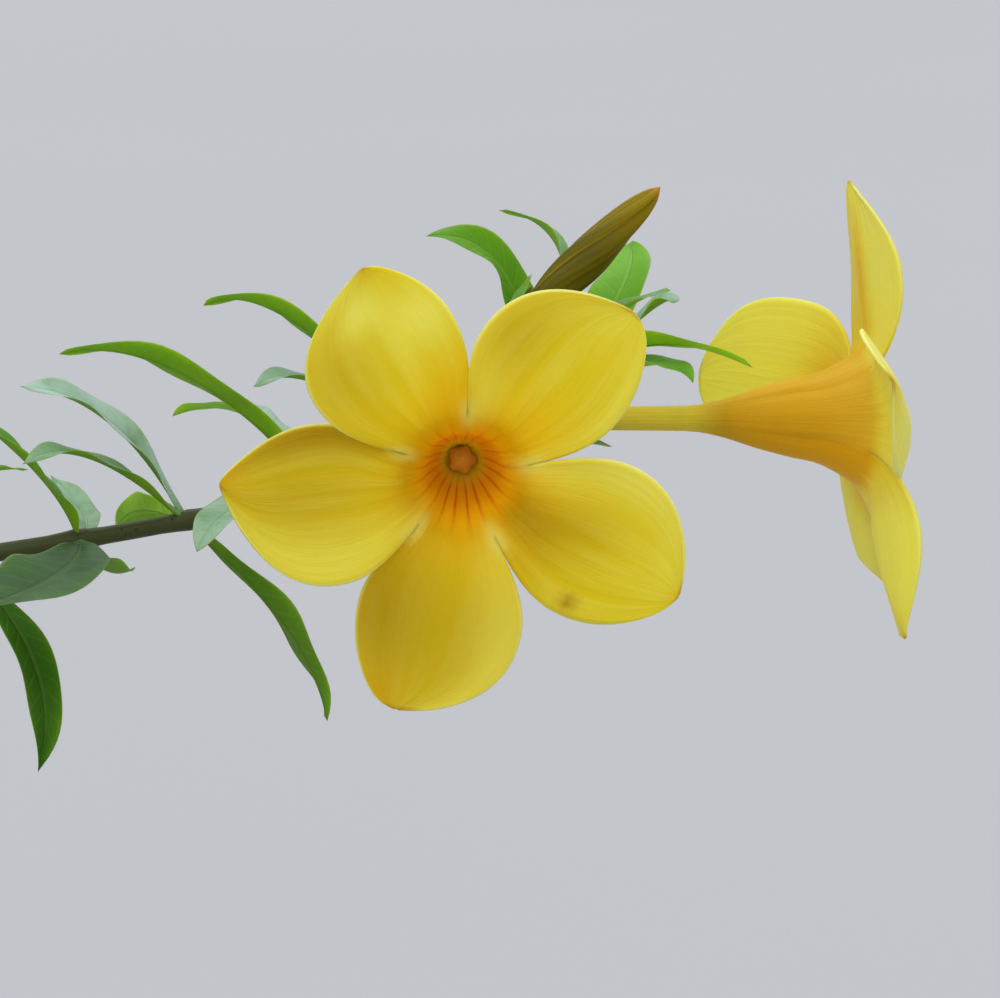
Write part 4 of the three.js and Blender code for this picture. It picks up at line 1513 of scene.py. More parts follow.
@dataclass(frozen=True)
class Blade:
    """How a leaf is drawn: a thin blade with a groove along its rib and curling margins."""

    sides: int = 20
    rows: int = 26
    half_thickness: float = 0.24
    stalk_half: float = 0.75
    groove: float = 0.3
    rib: float = 0.35
    rib_width: float = 0.7
    waves: float = 2.3
    wave_rise: float = 0.55
    wave_lag: float = 1.3

    def outline(self, share: float) -> float:
        """A leaf's half width at a share of its length, as a share of its widest."""
        return math.sin(math.pi * share**1.1) ** 0.9 if 0 < share < 1 else 0.0

    @staticmethod
    def across(u: float) -> float:
        """The place across the leaf, from -1 to 1, at a share of the turn. Columns crowd at the rib."""
        across = math.cos(2 * math.pi * u)
        return across * abs(across) ** 0.5

    def build(self, leaf: Leaf, form: Form) -> None:
        """Adds a leaf to a form.

        Args:
            leaf: The leaf's plan.
            form: The form to add to.
        """
        sections = []
        for row in range(self.rows + 1):
            share = row / self.rows
            along = leaf.tangent(share)
            up = (leaf.face - along * leaf.face.dot(along)).normalized()
            sections.append(Section(leaf.point(share), up.cross(along), up))

        def place(u: float, v: float) -> Vector:
            """A point of the leaf. The first and last rows close its ends."""
            section = sections[round(v * self.rows)]
            if v in (0.0, 1.0):
                return section.centre
            across = self.across(u)
            blade = smooth(v, 0.02, 0.14)
            half = max(leaf.width / 2 * self.outline(v), self.stalk_half * (1 - v) ** 2)
            lift = leaf.fold * half * (math.sqrt(across * across + 0.01) - 0.1)
            wave = 2 * math.pi * (self.waves * v + leaf.tone) + (self.wave_lag if across > 0 else 0)
            lift += self.wave_rise * across * across * math.sin(wave)
            thick = mix(self.stalk_half * 0.8, self.half_thickness * (1 - 0.5 * v), blade)
            hollow = self.groove if u < 0.5 else self.rib
            hollow *= bell(across * half, self.rib_width) * blade * (1 - v)
            height = thick * math.sin(2 * math.pi * u) - hollow
            return section.at(across * half, height + lift * blade)

        def span(u: float, v: float) -> tuple[float, float]:
            """The map: 0 to 1 across the upper face, 1 to 2 back across the under side."""
            across = self.across(u)
            return ((1 - across) / 2 if u <= 0.5 else (3 + across) / 2, v)

        # The tint mark carries the leaf's painted sky sheen.
        form.patch(self.sides, self.rows, place, span=span, tone=leaf.tone, tint=leaf.painted_sheen)


class Planner:
    """Lays out every stem, leaf, bloom and bud."""

    ROOT_DEPTH = 106
    STRAIGHT_TOP = 155
    ROOT_RING = 30
    BEND_SAMPLES = 40
    SPRAY_SAMPLES = 50
    WHORL_SPACING = 30
    WHORL_TURN = math.radians(80)
    WHORL_TRIES = (0, 0.4, -0.4, 0.8, -0.8)
    FOUR_LEAF_SHARE = 0.55
    FULL_GROWN_AT = 150
    TIP_BARE = 4
    SPRAY_LENGTH = 132
    LOWEST_WHORL = 196
    FRONT_SEED = 7
    SPRAY_NODES = (
        (-88.3, -13.5, -46),
        (-67.4, -10.2, -46),
        (-49, -6.9, -48),
        (-24.9, -1.6, -52),
        (-6.5, 4, -56),
        (12.9, 11.1, -58),
    )
    # Node on the stem, bend, tip, the way the upper face looks, width, tone, painted sky sheen
    SPRAY_LEAVES = (
        (0, (-68, -31.7, -32), (-73.9, -50.3, -35), (0.45, 0.3, 0.75), 7.4, 0.1, 0),
        (0, (-92.6, 3.7, -55), (-78, 2.1, -66), (0, 1, 0), 7, 0.6, 0),
        (1, (-70.3, 0.6, -40), (-88.2, 13.3, -35), (0.3, 1, 0.15), 8, 0.55, 0.05),
        (1, (-64.7, -6.8, -62), (-74.7, 1.1, -75), (0.2, 0.8, 0.6), 5.5, 0.4, 0.5),
        (1, (-63.7, -16.6, -18), (-82.9, -21.9, 5), (0, 0.8, 0.6), 16, 0.0, 0.05),
        (1, (-64.5, -18.3, -70), (-60.4, -15.7, -85), (0, 1, 0.2), 7, 0.3, 0),
        (2, (-60.7, 15.6, -42), (-76.6, 16.2, -30), (0.3, 1, 0.45), 10, 0.4, 0.85),
        (2, (-66.8, 9.9, -35), (-75.4, 2.7, -20), (0.2, 1, 0.25), 6.5, 0.5, 0.4),
        (2, (-61.4, -2.7, -75), (-64.3, -10.2, -90), (0.9, 0.25, -0.33), 7.5, 0.7, 0),
        (2, (-26.2, -26, -38), (-23.8, -41.3, -30), (0.6, 0.5, -0.5), 8.5, 0.2, 0.04),
        (3, (-50.2, 26.8, -26), (-69.9, 21.7, -30), (0.25, 1, -0.35), 9, 0.6, 0.1),
        (3, (-38.8, 18.4, -75), (-54, 11.9, -95), (0, 1, -0.2), 8, 0.9, 0),
        (3, (-36.3, 13.4, -62), (-40.3, 13.6, -75), (0.4, 0.8, 0.4), 6, 0.45, 0.6),
        (3, (-42.5, -2.1, -30), (-45.8, -12.2, -22), (-0.2, 0.7, 0.7), 8.5, 0.45, 0.65),
        (4, (-32.2, 37.2, -32), (-45.7, 30.4, -42), (0.25, 1, -0.2), 8, 0.65, 0.2),
        (4, (-28, 23.2, -40), (-36.6, 16.1, -32), (0.1, 1, 0.35), 6.5, 0.4, 0.6),
        (4, (-16.2, -14.5, -42), (-16.9, -18.9, -35), (0.5, 0.3, -0.5), 8, 0.4, 0),
        (5, (10.6, 45.6, -66), (-7.1, 42.9, -52), (0.4, 0.7, 0.5), 10.5, 0.7, 0),
        (5, (25.6, 46.3, -72), (5.6, 48.8, -80), (0.75, 0.65, 0.1), 7, 0.6, 0.3),
        (5, (32.1, 37.7, -66), (29.3, 43.3, -92), (-0.3, 0.5, 0.8), 10, 0.95, 0),
        (5, (24.8, 32.9, -60), (35.9, 33.5, -55), (0, 1, 0.3), 6, 0.7, 0.3),
        (5, (34.9, 35.1, -50), (36.6, 31.1, -45), (0, 1, 0.4), 7, 0.5, 0.7),
        (5, (27.6, 31.3, -45), (49.6, 19.5, -38), (0, 1, -0.3), 8, 1, 0),
        (5, (34.4, 26.2, -45), (39.3, 16.9, -40), (0.1, 1, 0.35), 7, 1, 0.1),
    )
    # Each petal's olive spots are painted shade and its pale spots painted highlights.
    FRONT_PETALS = (
        Petal(
            bearing=123.5,
            reflex=7,
            length=0.955,
            width=0.98,
            shift=5.2,
            bluntness=0.25,
            widest_at=0.51,
            golden=(ColourAndLightSpot(-0.6, 0.1, 0.5, 0.2, 0.7), ColourAndLightSpot(-0.3, 0.97, 0.4, 0.06, 0.5)),
            olive=(ColourAndLightSpot(0.6, 0.55, 0.5, 0.35, 0.4),),
            pale=(
                ColourAndLightSpot(-0.65, 0.6, 0.45, 0.18, 0.8),
                ColourAndLightSpot(0.05, 0.8, 0.35, 0.12, 0.9),
                ColourAndLightSpot(0.7, 0.95, 0.4, 0.1, 0.6),
            ),
            lines=0.4,
        ),
        Petal(
            bearing=52,
            reflex=5,
            length=0.965,
            width=1.01,
            shift=4.4,
            bluntness=0.4,
            golden=(ColourAndLightSpot(-0.3, 0.1, 0.5, 0.25, 0.4),),
            olive=(ColourAndLightSpot(0.6, 0.5, 0.35, 0.3, 0.35),),
            pale=(
                ColourAndLightSpot(-0.9, 0.5, 0.15, 0.4, 0.6),
                ColourAndLightSpot(0, 1, 1, 0.25, 0.4),
                ColourAndLightSpot(0.7, 0.15, 0.25, 0.2, 0.4),
            ),
            lines=0.3,
        ),
        Petal(
            bearing=-24.3,
            reflex=4,
            length=1.005,
            width=1.03,
            shift=3,
            bluntness=0.29,
            golden=(ColourAndLightSpot(-0.2, 1, 0.6, 0.06, 0.4),),
            olive=(
                ColourAndLightSpot(-0.2, 0.05, 0.65, 0.25, 0.8),
                ColourAndLightSpot(-0.82, 0.46, 0.1, 0.05, 0.9),
                ColourAndLightSpot(0, 0.4, 0.4, 0.2, 0.3),
            ),
            pale=(ColourAndLightSpot(0.85, 0.5, 0.3, 0.5, 0.7), ColourAndLightSpot(0.2, 0.9, 0.6, 0.15, 0.3)),
            lines=0.7,
        ),
        Petal(
            bearing=-100.5,
            reflex=4,
            length=0.985,
            shift=4.2,
            bluntness=0.42,
            golden=(ColourAndLightSpot(-0.8, 0.95, 0.5, 0.15, 0.7),),
            olive=(ColourAndLightSpot(-0.75, 0.45, 0.5, 0.45, 0.4), ColourAndLightSpot(0, 0.6, 1.5, 0.6, 0.45)),
            pale=(ColourAndLightSpot(0.85, 0.6, 0.35, 0.5, 0.45),),
            lines=1.0,
        ),
        Petal(
            bearing=189.3,
            reflex=6,
            width=0.97,
            shift=5.8,
            bluntness=0.22,
            golden=(ColourAndLightSpot(-0.8, 0.95, 0.5, 0.12, 0.5), ColourAndLightSpot(0, 1, 0.8, 0.05, 0.5)),
            olive=(ColourAndLightSpot(-0.88, 0.5, 0.25, 0.45, 0.8), ColourAndLightSpot(-0.1, 0.6, 0.7, 0.6, 0.5)),
            pale=(ColourAndLightSpot(0.75, 0.5, 0.35, 0.5, 0.5),),
        ),
    )
    # Each petal's olive spots are painted shade and its pale spots painted highlights.
    SIDE_PETALS = (
        Petal(
            bearing=98,
            reflex=9,
            length=0.965,
            twist=0.06,
            width=0.96,
            shift=6,
            bluntness=0.1,
            widest_at=0.5,
            cup=1.7,
            # The first two golden spots, a band and a line down the fold, are painted shade.
            golden=(
                ColourAndLightSpot(-0.5, 0.5, 0.5, 0.6, 0.4),
                ColourAndLightSpot(0, 0.45, 0.14, 0.4, 0.8),
                ColourAndLightSpot(0.1, -0.47, 0.5, 0.06, 0.7),
            ),
            olive=(),
            pale=(ColourAndLightSpot(0.65, 0.55, 0.4, 0.45, 0.9),),
        ),
        Petal(
            bearing=175,
            reflex=17,
            length=0.95,
            twist=0.25,
            width=0.88,
            shift=2,
            cup=-5,
            golden=(),
            olive=(),
            pale=(ColourAndLightSpot(0, 0.55, 3, 0.35, 2.2),),
        ),
        Petal(
            bearing=249,
            reflex=-2.5,
            length=0.97,
            twist=0.12,
            width=0.98,
            shift=1,
            bluntness=0.05,
            widest_at=0.42,
            cup=4.2,
            golden=(ColourAndLightSpot(0, 1, 0.8, 0.1, 0.6),),
            olive=(),
        ),
        Petal(
            bearing=316,
            reflex=-14,
            length=0.92,
            twist=-0.2,
            width=0.98,
            shift=-2.5,
            bluntness=0.35,
            cup=3,
        ),
        Petal(
            bearing=19,
            reflex=50,
            length=1.03,
            twist=0.05,
            shift=3,
            bluntness=0.55,
            golden=(ColourAndLightSpot(0, 0.1, 0.8, 0.3, 0.9),),
            olive=(),
        ),
    )
    # The mouth, the axis and the size of each open bloom of the spray, and its petals
    SPRAY_BLOOMS = (
        ((0, 0, 0), (0.03, -0.165, 1), 1.0, FRONT_PETALS),
        ((68.2, 11, -54), (0.978, 0.003, -0.208), 1.05, SIDE_PETALS),
    )
    # The tip, the axis and the size of its bud
    SPRAY_BUD = ((34.2, 52, -60), (0.7, 0.683, -0.208), 1.05)
    SPRAY_FOLD = 0.28
    # Bearing, reach, top, end bearing and end pitch, and the seed of its leaves
    OTHER_STEMS = (
        (110, 50, 452, 120, 58, 11),
        (165, 165, 372, 172, -28, 23),
        (215, 175, 318, 206, -22, 37),
        (265, 120, 300, 258, 12, 41),
        (60, 100, 420, 52, 25, 53),
        (322, 112, 262, 312, 5, 67),
        (18, 105, 248, 26, 6, 79),
    )
    # Blooms by bearing, pitch, size and first petal, and buds by bearing, pitch and size
    OTHER_HEADS = (
        (((150, 38, 0.98, 20),), ((70, 62, 0.9),)),
        (((195, 8, 1.02, 50),), ()),
        ((), ((206, -5, 1),)),
        ((), ((255, 48, 0.85),)),
        (((48, 20, 1, 35),), ((100, 45, 0.95),)),
        ((), ()),
        ((), ()),
    )
    HEAD_PAST_TIP = 7
    HEAD_OUT = 13
    BLOOM_PROBES = (0, 12, 24, 36, 48)
    PETAL_PROBES = (0.1, 0.5, 0.95)
    BUD_PROBES = (0, 12, 24, 36)
    STEM_PROBE_SPACING = 9
    STEM_ROOM = 10
    HEAD_ROOM = 14
    NO_OWNER = -1
    FRONT_ROOT_BEARING = -10
    BOW_RISE = 0.7
    BOW_REACH = 0.5
    PETAL_REFLEXES = (6, 9, 5, 8, 4)
    # A young leaf's length, at the stem's tip, and a full grown one's, and how each one differs
    LEAF_LENGTHS = (50, 68)
    LEAF_SHARES = (0.85, 1.1)
    LEAF_NARROWNESS = 0.25
    LEAF_WIDTHS = (0.9, 1.12)
    LEAF_DROOPS = (0.12, 0.42)
    LEAF_SWAY = 0.15
    LEAF_TONES = (0.7, 0.3)
    TONE_SWAY = 0.18
    # How much painted sky sheen a whorl leaf gets; below zero means none.
    PAINTED_SHEENS = (-0.3, 0.4)
    LOOKS_SEED = 1000
    # How far a leaf's bend and its tip lie out from the stem and along it, by its length
    BEND_OUT = 0.5
    BEND_ALONG = 0.27
    TIP_OUT = 0.84
    TIP_ALONG = 0.1
    FACE_ALONG = 0.6
    FACE_UP = 0.55
    WHORL_FOLD = 0.16

    def __init__(self) -> None:
        """Lays the stems out and then sets their leaves."""
        self.corolla = Corolla()
        self.stems = [self.front_stem()]
        for row, heads in zip(self.OTHER_STEMS, self.OTHER_HEADS):
            self.stems.append(self.other_stem(row, heads))
        self.set_leaves()

    def bowed(self, root: Vector, end: Vector, direction: Vector, onward: Sequence[Vector]) -> StemLine:
        """A stem's line: straight out of the soil, then bowed over to its end.

        Args:
            root: Where it leaves the soil.
            end: Where the bow ends.
            direction: The direction there.
            onward: The points that follow.

        Returns:
            The line.
        """
        bare = Vector((root.x, root.y, self.STRAIGHT_TOP))
        rise = end.z - self.STRAIGHT_TOP
        reach = math.hypot(end.x - root.x, end.y - root.y)
        above = bare + Vector((0, 0, self.BOW_RISE * rise))
        steer = (bare, above, end - direction * (self.BOW_REACH * reach), end)
        points = [Vector((root.x, root.y, self.ROOT_DEPTH))]
        points += [bezier(steer, step / self.BEND_SAMPLES) for step in range(self.BEND_SAMPLES + 1)]
        return StemLine([*points, *onward])

    def front_stem(self) -> Stem:
        """The stem that carries the two open blooms, with the heads and leaves of its spray."""
        nodes = [spray_point(*node) for node in self.SPRAY_NODES]
        corners = [tuple(node) for node in nodes]
        onward = []
        for step in range(1, self.SPRAY_SAMPLES + 1):
            onward.append(Vector(rounded(corners, step / self.SPRAY_SAMPLES)))
        root = bearing(self.FRONT_ROOT_BEARING) * self.ROOT_RING
        line = self.bowed(root, nodes[0], (nodes[1] - nodes[0]).normalized(), onward)
        blooms = [
            Head(self.spray_frame(mouth, way, size, self.corolla.mouth_at), petals)
            for mouth, way, size, petals in self.SPRAY_BLOOMS
        ]
        bud = Head(self.spray_frame(*self.SPRAY_BUD, Bud().length))
        leaves = [
            Leaf(
                nodes[node],
                spray_point(*bend),
                spray_point(*tip),
                spray_direction(*face),
                width,
                self.SPRAY_FOLD,
                tone,
                painted_sheen,
            )
            for node, bend, tip, face, width, tone, painted_sheen in self.SPRAY_LEAVES
        ]
        return Stem(line, blooms, [bud], leaves, line.total - self.SPRAY_LENGTH, self.FRONT_SEED)

    @staticmethod
    def spray_frame(
        end: Sequence[float], way: Sequence[float], size: float, length: float
    ) -> Matrix:
        """The frame of a head of the spray, from the end that shows in the photo.

        Args:
            end: The bloom's mouth or the bud's tip, in the spray's frame.
            way: The head's axis there.
            size: Its scale.
            length: How far its foot lies behind that end, before scaling.

        Returns:
            The frame.
        """
        axis = spray_direction(*way).normalized()
        foot = spray_point(*end) - axis * (length * size)
        return head_frame(foot, axis, spray_direction(0, 1, 0), size)

    def other_stem(self, row: Sequence[float], heads: Sequence[Sequence[tuple]]) -> Stem:
        """Another stem, with the heads at its tip.

        Args:
            row: Its bearing, reach, top, end bearing, end pitch and seed.
            heads: Its blooms and its buds.

        Returns:
            The stem's plan.
        """
        turn, reach, top, end_turn, end_pitch, seed = row
        end = bearing((turn + end_turn) / 2) * (self.ROOT_RING + reach)
        end.z = top
        line = self.bowed(bearing(turn) * self.ROOT_RING, end, bearing(end_turn, end_pitch), [])
        blooms = []
        for at, pitch, size, start in heads[0]:
            petals = tuple(
                Petal(start + 360 * index / PETAL_COUNT, reflex, lines=0.4 + 0.1 * index)
                for index, reflex in enumerate(self.PETAL_REFLEXES)
            )
            blooms.append(Head(self.tip_frame(line, bearing(at, pitch), size), petals))
        buds = [Head(self.tip_frame(line, bearing(at, pitch), size)) for at, pitch, size in heads[1]]
        return Stem(line, blooms, buds, [], line.total - self.TIP_BARE, int(seed))

    def tip_frame(self, line: StemLine, axis: Vector, size: float) -> Matrix:
        """The frame of a head that stands a little past a stem's tip."""
        past = line.direction(line.total) * self.HEAD_PAST_TIP
        foot = line.point(line.total) + past + axis * self.HEAD_OUT
        up = Vector((1, 0, 0)) if abs(axis.z) > 0.9 else Vector((0, 0, 1))
        return head_frame(foot, axis, up, size)

    def set_leaves(self) -> None:
        """Sets the whorls of every stem, clear of all stems, heads and other leaves."""
        room = Clearings()
        for owner, stem in enumerate(self.stems):
            at = 0
            while at < stem.line.total:
                room.add(stem.line.point(at), owner, self.STEM_ROOM, 0)
                at += self.STEM_PROBE_SPACING
            for head in stem.blooms:
                spots = [Vector((0, 0, at)) for at in self.BLOOM_PROBES]
                for petal in head.petals:
                    spots += [self.corolla.petal_point(petal, 0, v, 0) for v in self.PETAL_PROBES]
                for spot in spots:
                    room.add(head.frame @ spot, self.NO_OWNER, self.HEAD_ROOM, 0)
            for head in stem.buds:
                for at in self.BUD_PROBES:
                    room.add(head.frame @ Vector((0, 0, at)), self.NO_OWNER, self.HEAD_ROOM, 0)
            for leaf in stem.spray_leaves:
                room.add_leaf(leaf, owner)
        for owner, stem in enumerate(self.stems):
            stem.whorl_leaves = self.whorls(stem, owner, room)

    def whorls(self, stem: Stem, owner: int, room: Clearings) -> list[Leaf]:
        """The leaves of a stem, whorl by whorl from its tip down.

        Args:
            stem: The stem.
            owner: Its number.
            room: What the leaves keep clear of.

        Returns:
            The leaves.
        """
        draw = Draw(stem.seed)
        looks = Draw(stem.seed + self.LOOKS_SEED)
        leaves = []
        distance = stem.leaf_start
        turn = draw.between(0, 2 * math.pi)
        while distance > 0:
            node = stem.line.point(distance)
            if node.z < self.LOWEST_WHORL:
                break
            along = stem.line.direction(distance)
            age = min(1.0, (stem.leaf_start - distance) / self.FULL_GROWN_AT)
            count = 4 if draw.between(0, 1) < self.FOUR_LEAF_SHARE else 3
            for index in range(count):
                length = mix(*self.LEAF_LENGTHS, age) * draw.between(*self.LEAF_SHARES)
                width = length * self.LEAF_NARROWNESS * draw.between(*self.LEAF_WIDTHS)
                droop = draw.between(*self.LEAF_DROOPS)
                sway = draw.between(-self.LEAF_SWAY, self.LEAF_SWAY)
                own = turn + 2 * math.pi * index / count + sway
                tone = mix(*self.LEAF_TONES, age) + looks.between(-self.TONE_SWAY, self.TONE_SWAY)
                # How much painted sky sheen this leaf gets.
                painted_sheen = max(0.0, looks.between(*self.PAINTED_SHEENS))
                for shift in self.WHORL_TRIES:
                    leaf = self.whorl_leaf(node, along, own + shift, length, width, droop, (tone, painted_sheen))
                    if room.allows(leaf, owner):
                        room.add_leaf(leaf, owner)
                        leaves.append(leaf)
                        break
            turn += self.WHORL_TURN
            distance -= self.WHORL_SPACING * draw.between(*self.LEAF_SHARES)
        return leaves

    def whorl_leaf(
        self,
        node: Vector,
        along: Vector,
        turn: float,
        length: float,
        width: float,
        droop: float,
        looks: tuple[float, float],
    ) -> Leaf:
        """A leaf of a whorl, arching out from the stem and over under its weight.

        Args:
            node: The leaf's foot.
            along: The stem's direction there.
            turn: The leaf's turn about the stem.
            length: Its length.
            width: Its width.
            droop: How far its tip sinks, by its length.
            looks: Its tone and its painted sky sheen.

        Returns:
            The leaf.
        """
        level = Vector((-along.y, along.x, 0))
        if level.length < NEARLY_UPRIGHT:
            level = Vector((0, 1, 0))
        outward = Matrix.Rotation(turn, 3, along) @ level.normalized()
        bend = node + (outward * self.BEND_OUT + along * self.BEND_ALONG) * length
        sunk = Vector((0, 0, droop))
        tip = node + (outward * self.TIP_OUT + along * self.TIP_ALONG - sunk) * length
        face = along * self.FACE_ALONG + Vector((0, 0, self.FACE_UP))
        return Leaf(node, bend, tip, face, width, self.WHORL_FOLD, *looks)


# The pieces


class Finishes:
    """Every material of the plant, each built once."""

    def __init__(self) -> None:
        """Builds the materials."""
        self.clay = ClayFinish().material()
        self.soil = SoilFinish().material()
        self.crumbs = CrumbFinish().material()
        self.wood = WoodFinish().material()
        self.leaf = LeafFinish().material()
        self.sepal = SepalFinish().material()
        self.petal_outer = PetalFinish().material(Face.OUTER)
        self.petal_inner = PetalFinish().material(Face.INNER)
        self.corona = CoronaFinish().material()
        self.bud = BudFinish().material()


@dataclass(frozen=True)
class PotBuilder:
    """The clay pot: a spun shell with a banded rim and drain holes."""

    foot: float = 62
    shoulder: float = 88
    rim: float = 95
    height: float = 160
    wall: float = 8
    band: float = 32
    band_step: float = 4
    rim_thinning: float = 1
    rounding: float = 1.6
    sides: int = 120
    cuts: int = 14
    drain_radius: float = 6
    drain_ring: float = 34
    drains: int = 4
    drain_sides: int = 32
    first_drain: float = 45
    sharp_angle: float = math.radians(50)
    sway_from: float = 4
    sway_below_rim: float = 2
    ring_sway: float = 0.12
    ring_pace: float = 0.9
    round_sway: float = 0.18
    round_drift: float = 0.03

    def build(self, finishes: Finishes) -> None:
        """Builds the pot.

        Args:
            finishes: The materials.
        """
        band_foot = self.height - self.band
        form = Form()
        profile = (
            (0, 0),
            (self.foot, 0),
            (self.shoulder, band_foot),
            (self.shoulder + self.band_step, band_foot),
            (self.rim, self.height),
            (self.rim - self.wall - self.rim_thinning, self.height),
            (self.shoulder - self.wall, band_foot),
            (self.foot - self.wall, self.wall),
            (0, self.wall),
        )
        form.revolve(profile, self.sides, self.rounding, self.cuts)
        self.throw(form)
        pot = form.finish("clay_pot", [finishes.clay])
        cut_away(pot, self.drill(finishes))
        pot.data.set_sharp_from_angle(angle=self.sharp_angle)
        hand_over(pot, Slot.CLAY, "pot")

    def throw(self, form: Form) -> None:
        """Gives the outside the faint rings and the sway of a pot thrown by hand."""
        for vert in form.bm.verts:
            height = vert.co.z
            outside = math.hypot(vert.co.x, vert.co.y) > self.foot - self.wall
            if outside and self.sway_from < height < self.height - self.sway_below_rim:
                turn = math.atan2(vert.co.y, vert.co.x)
                sway = self.ring_sway * math.sin(height * self.ring_pace)
                sway += self.round_sway * math.sin(2 * turn + height * self.round_drift)
                vert.co.x *= 1 + sway / self.shoulder
                vert.co.y *= 1 + sway / self.shoulder

    def drill(self, finishes: Finishes) -> bpy.types.Object:
        """The rods that cut the drain holes.

        Args:
            finishes: The materials.

        Returns:
            The rods as one object.
        """
        rods = Form()
        for index in range(self.drains):
            centre = bearing(self.first_drain + 360 * index / self.drains) * self.drain_ring
            bmesh.ops.create_cone(
                rods.bm,
                cap_ends=True,
                segments=self.drain_sides,
                radius1=self.drain_radius,
                radius2=self.drain_radius,
                depth=4 * self.wall,
                matrix=Matrix.Translation(centre),
            )
        return rods.finish("drain_drill", [finishes.clay])


def cut_away(piece: bpy.types.Object, cutter: bpy.types.Object) -> None:
    """Cuts one object out of another, applies the cut and removes the cutter.

    Args:
        piece: The object that is cut.
        cutter: The object that is taken out of it.
    """
    cut = piece.modifiers.new("cut", "BOOLEAN")
    cut.operation = "DIFFERENCE"
    cut.solver = "EXACT"
    cut.object = cutter
    graph = bpy.context.evaluated_depsgraph_get()
    mesh = bpy.data.meshes.new_from_object(piece.evaluated_get(graph))
    piece.modifiers.remove(cut)
    mesh.name = piece.name
    piece.data = mesh
    bpy.data.objects.remove(cutter)


@dataclass(frozen=True)
class CrumbKind:
    """A kind of crumb, for draws below a limit: its tone, its size and how thick it is."""

    below: float
    tone: float
    size: float
    thickness: float


@dataclass(frozen=True)
class SoilBuilder:
    """The soil: it fills the pot to a low, crumbly dome."""

    floor: float = 8.35
    foot: float = 53.475
    shoulder: float = 79.4
    shoulder_at: float = 128
    edge: float = 81.2
    top: float = 140
    dome: float = 6
    lumps: float = 1.5
    sides: int = 120
    rows: int = 60
    wall_share: float = 0.35
    sink: float = 0.8
    # How fine each layer of lumps is, where it is taken from the noise, and its strength
    lump_layers: tuple[tuple[float, float, float], ...] = ((0.09, 3, 1), (0.25, 7, 0.6), (0.7, 1, 0.35))
    crumbs: int = 900
    crumb_reach: float = 0.95
    crumb_sizes: tuple[float, float] = (0.7, 1.9)
    crumb_spin: float = 6.28
    crumb_tilt: float = 0.5
    crumb_stretch: tuple[float, float] = (0.8, 1.5)
    crumb_rise: float = 0.25
    crumb_wear: float = 0.2
    kinds: tuple[CrumbKind, ...] = (
        CrumbKind(below=0.6, tone=0, size=1, thickness=0.8),
        CrumbKind(below=0.82, tone=0.5, size=1.3, thickness=0.45),
        CrumbKind(below=1, tone=1, size=1, thickness=0.8),
    )
    seed: int = 5

    def surface(self, x: float, y: float) -> float:
        """The height of the soil at a place."""
        radius = math.hypot(x, y) / self.edge
        height = self.top + self.dome * (1 - radius**2)
        lumps = sum(
            strength * noise.noise(Vector((x * pace, y * pace, layer)))
            for pace, layer, strength in self.lump_layers
        )
        return height + self.lumps * lumps * (1 - smooth(radius, 0.93, 1.0)) - self.sink

    def build(self, finishes: Finishes) -> None:
        """Builds the soil and its crumbs.

        Args:
            finishes: The materials.
        """
        form = Form()
        wall = (
            (0, self.floor),
            (self.foot, self.floor),
            (self.shoulder, self.shoulder_at),
            (self.edge, self.top),
        )

        def place(u: float, v: float) -> Vector:
            """A point of the soil: its floor and wall, and then its top from the edge inwards."""
            turn = 2 * math.pi * u
            if v < self.wall_share:
                share = v / self.wall_share * (len(wall) - 1)
                index = min(int(share), len(wall) - 2)
                radius = mix(wall[index][0], wall[index + 1][0], share - index)
                height = mix(wall[index][1], wall[index + 1][1], share - index)
                return Vector((radius * math.cos(turn), radius * math.sin(turn), height))
            radius = self.edge * (1 - (v - self.wall_share) / (1 - self.wall_share))
            x, y = radius * math.cos(turn), radius * math.sin(turn)
            if radius >= self.edge:
                return Vector((x, y, self.top))
            return Vector((x, y, self.surface(x, y)))

        form.patch(self.sides, self.rows, place)
        hand_over(form.finish("soil_fill", [finishes.soil]), Slot.SOIL, "soil")
        self.scatter(finishes)

    def scatter(self, finishes: Finishes) -> None:
        """Scatters crumbs, bark and white grit over the soil."""
        draw = Draw(self.seed)
        form = Form()
        for _ in range(self.crumbs):
            radius = self.edge * self.crumb_reach * math.sqrt(draw.between(0, 1))
            turn = draw.between(0, 2 * math.pi)
            x, y = radius * math.cos(turn), radius * math.sin(turn)
            picked = draw.between(0, 1)
            kind = next(kind for kind in self.kinds if picked < kind.below)
            size = draw.between(*self.crumb_sizes) * kind.size
            spin = Matrix.Rotation(draw.between(0, self.crumb_spin), 4, "Z")
            tilt = Matrix.Rotation(draw.between(-self.crumb_tilt, self.crumb_tilt), 4, "X")
            stretch = draw.between(*self.crumb_stretch)
            shape = Matrix.Diagonal((size * stretch, size, size * kind.thickness, 1))
            at = Matrix.Translation((x, y, self.surface(x, y) + self.crumb_rise * size))
            place = at @ spin @ tilt @ shape
            made = bmesh.ops.create_icosphere(form.bm, subdivisions=1, radius=1, matrix=place)
            for vert in made["verts"]:
                vert[form.marks["tone"]] = kind.tone
                wear = [draw.between(-self.crumb_wear, self.crumb_wear) * size for _ in range(3)]
                vert.co += Vector(wear)
        hand_over(form.finish("soil_crumbs", [finishes.crumbs]), Slot.SOIL, "soil")


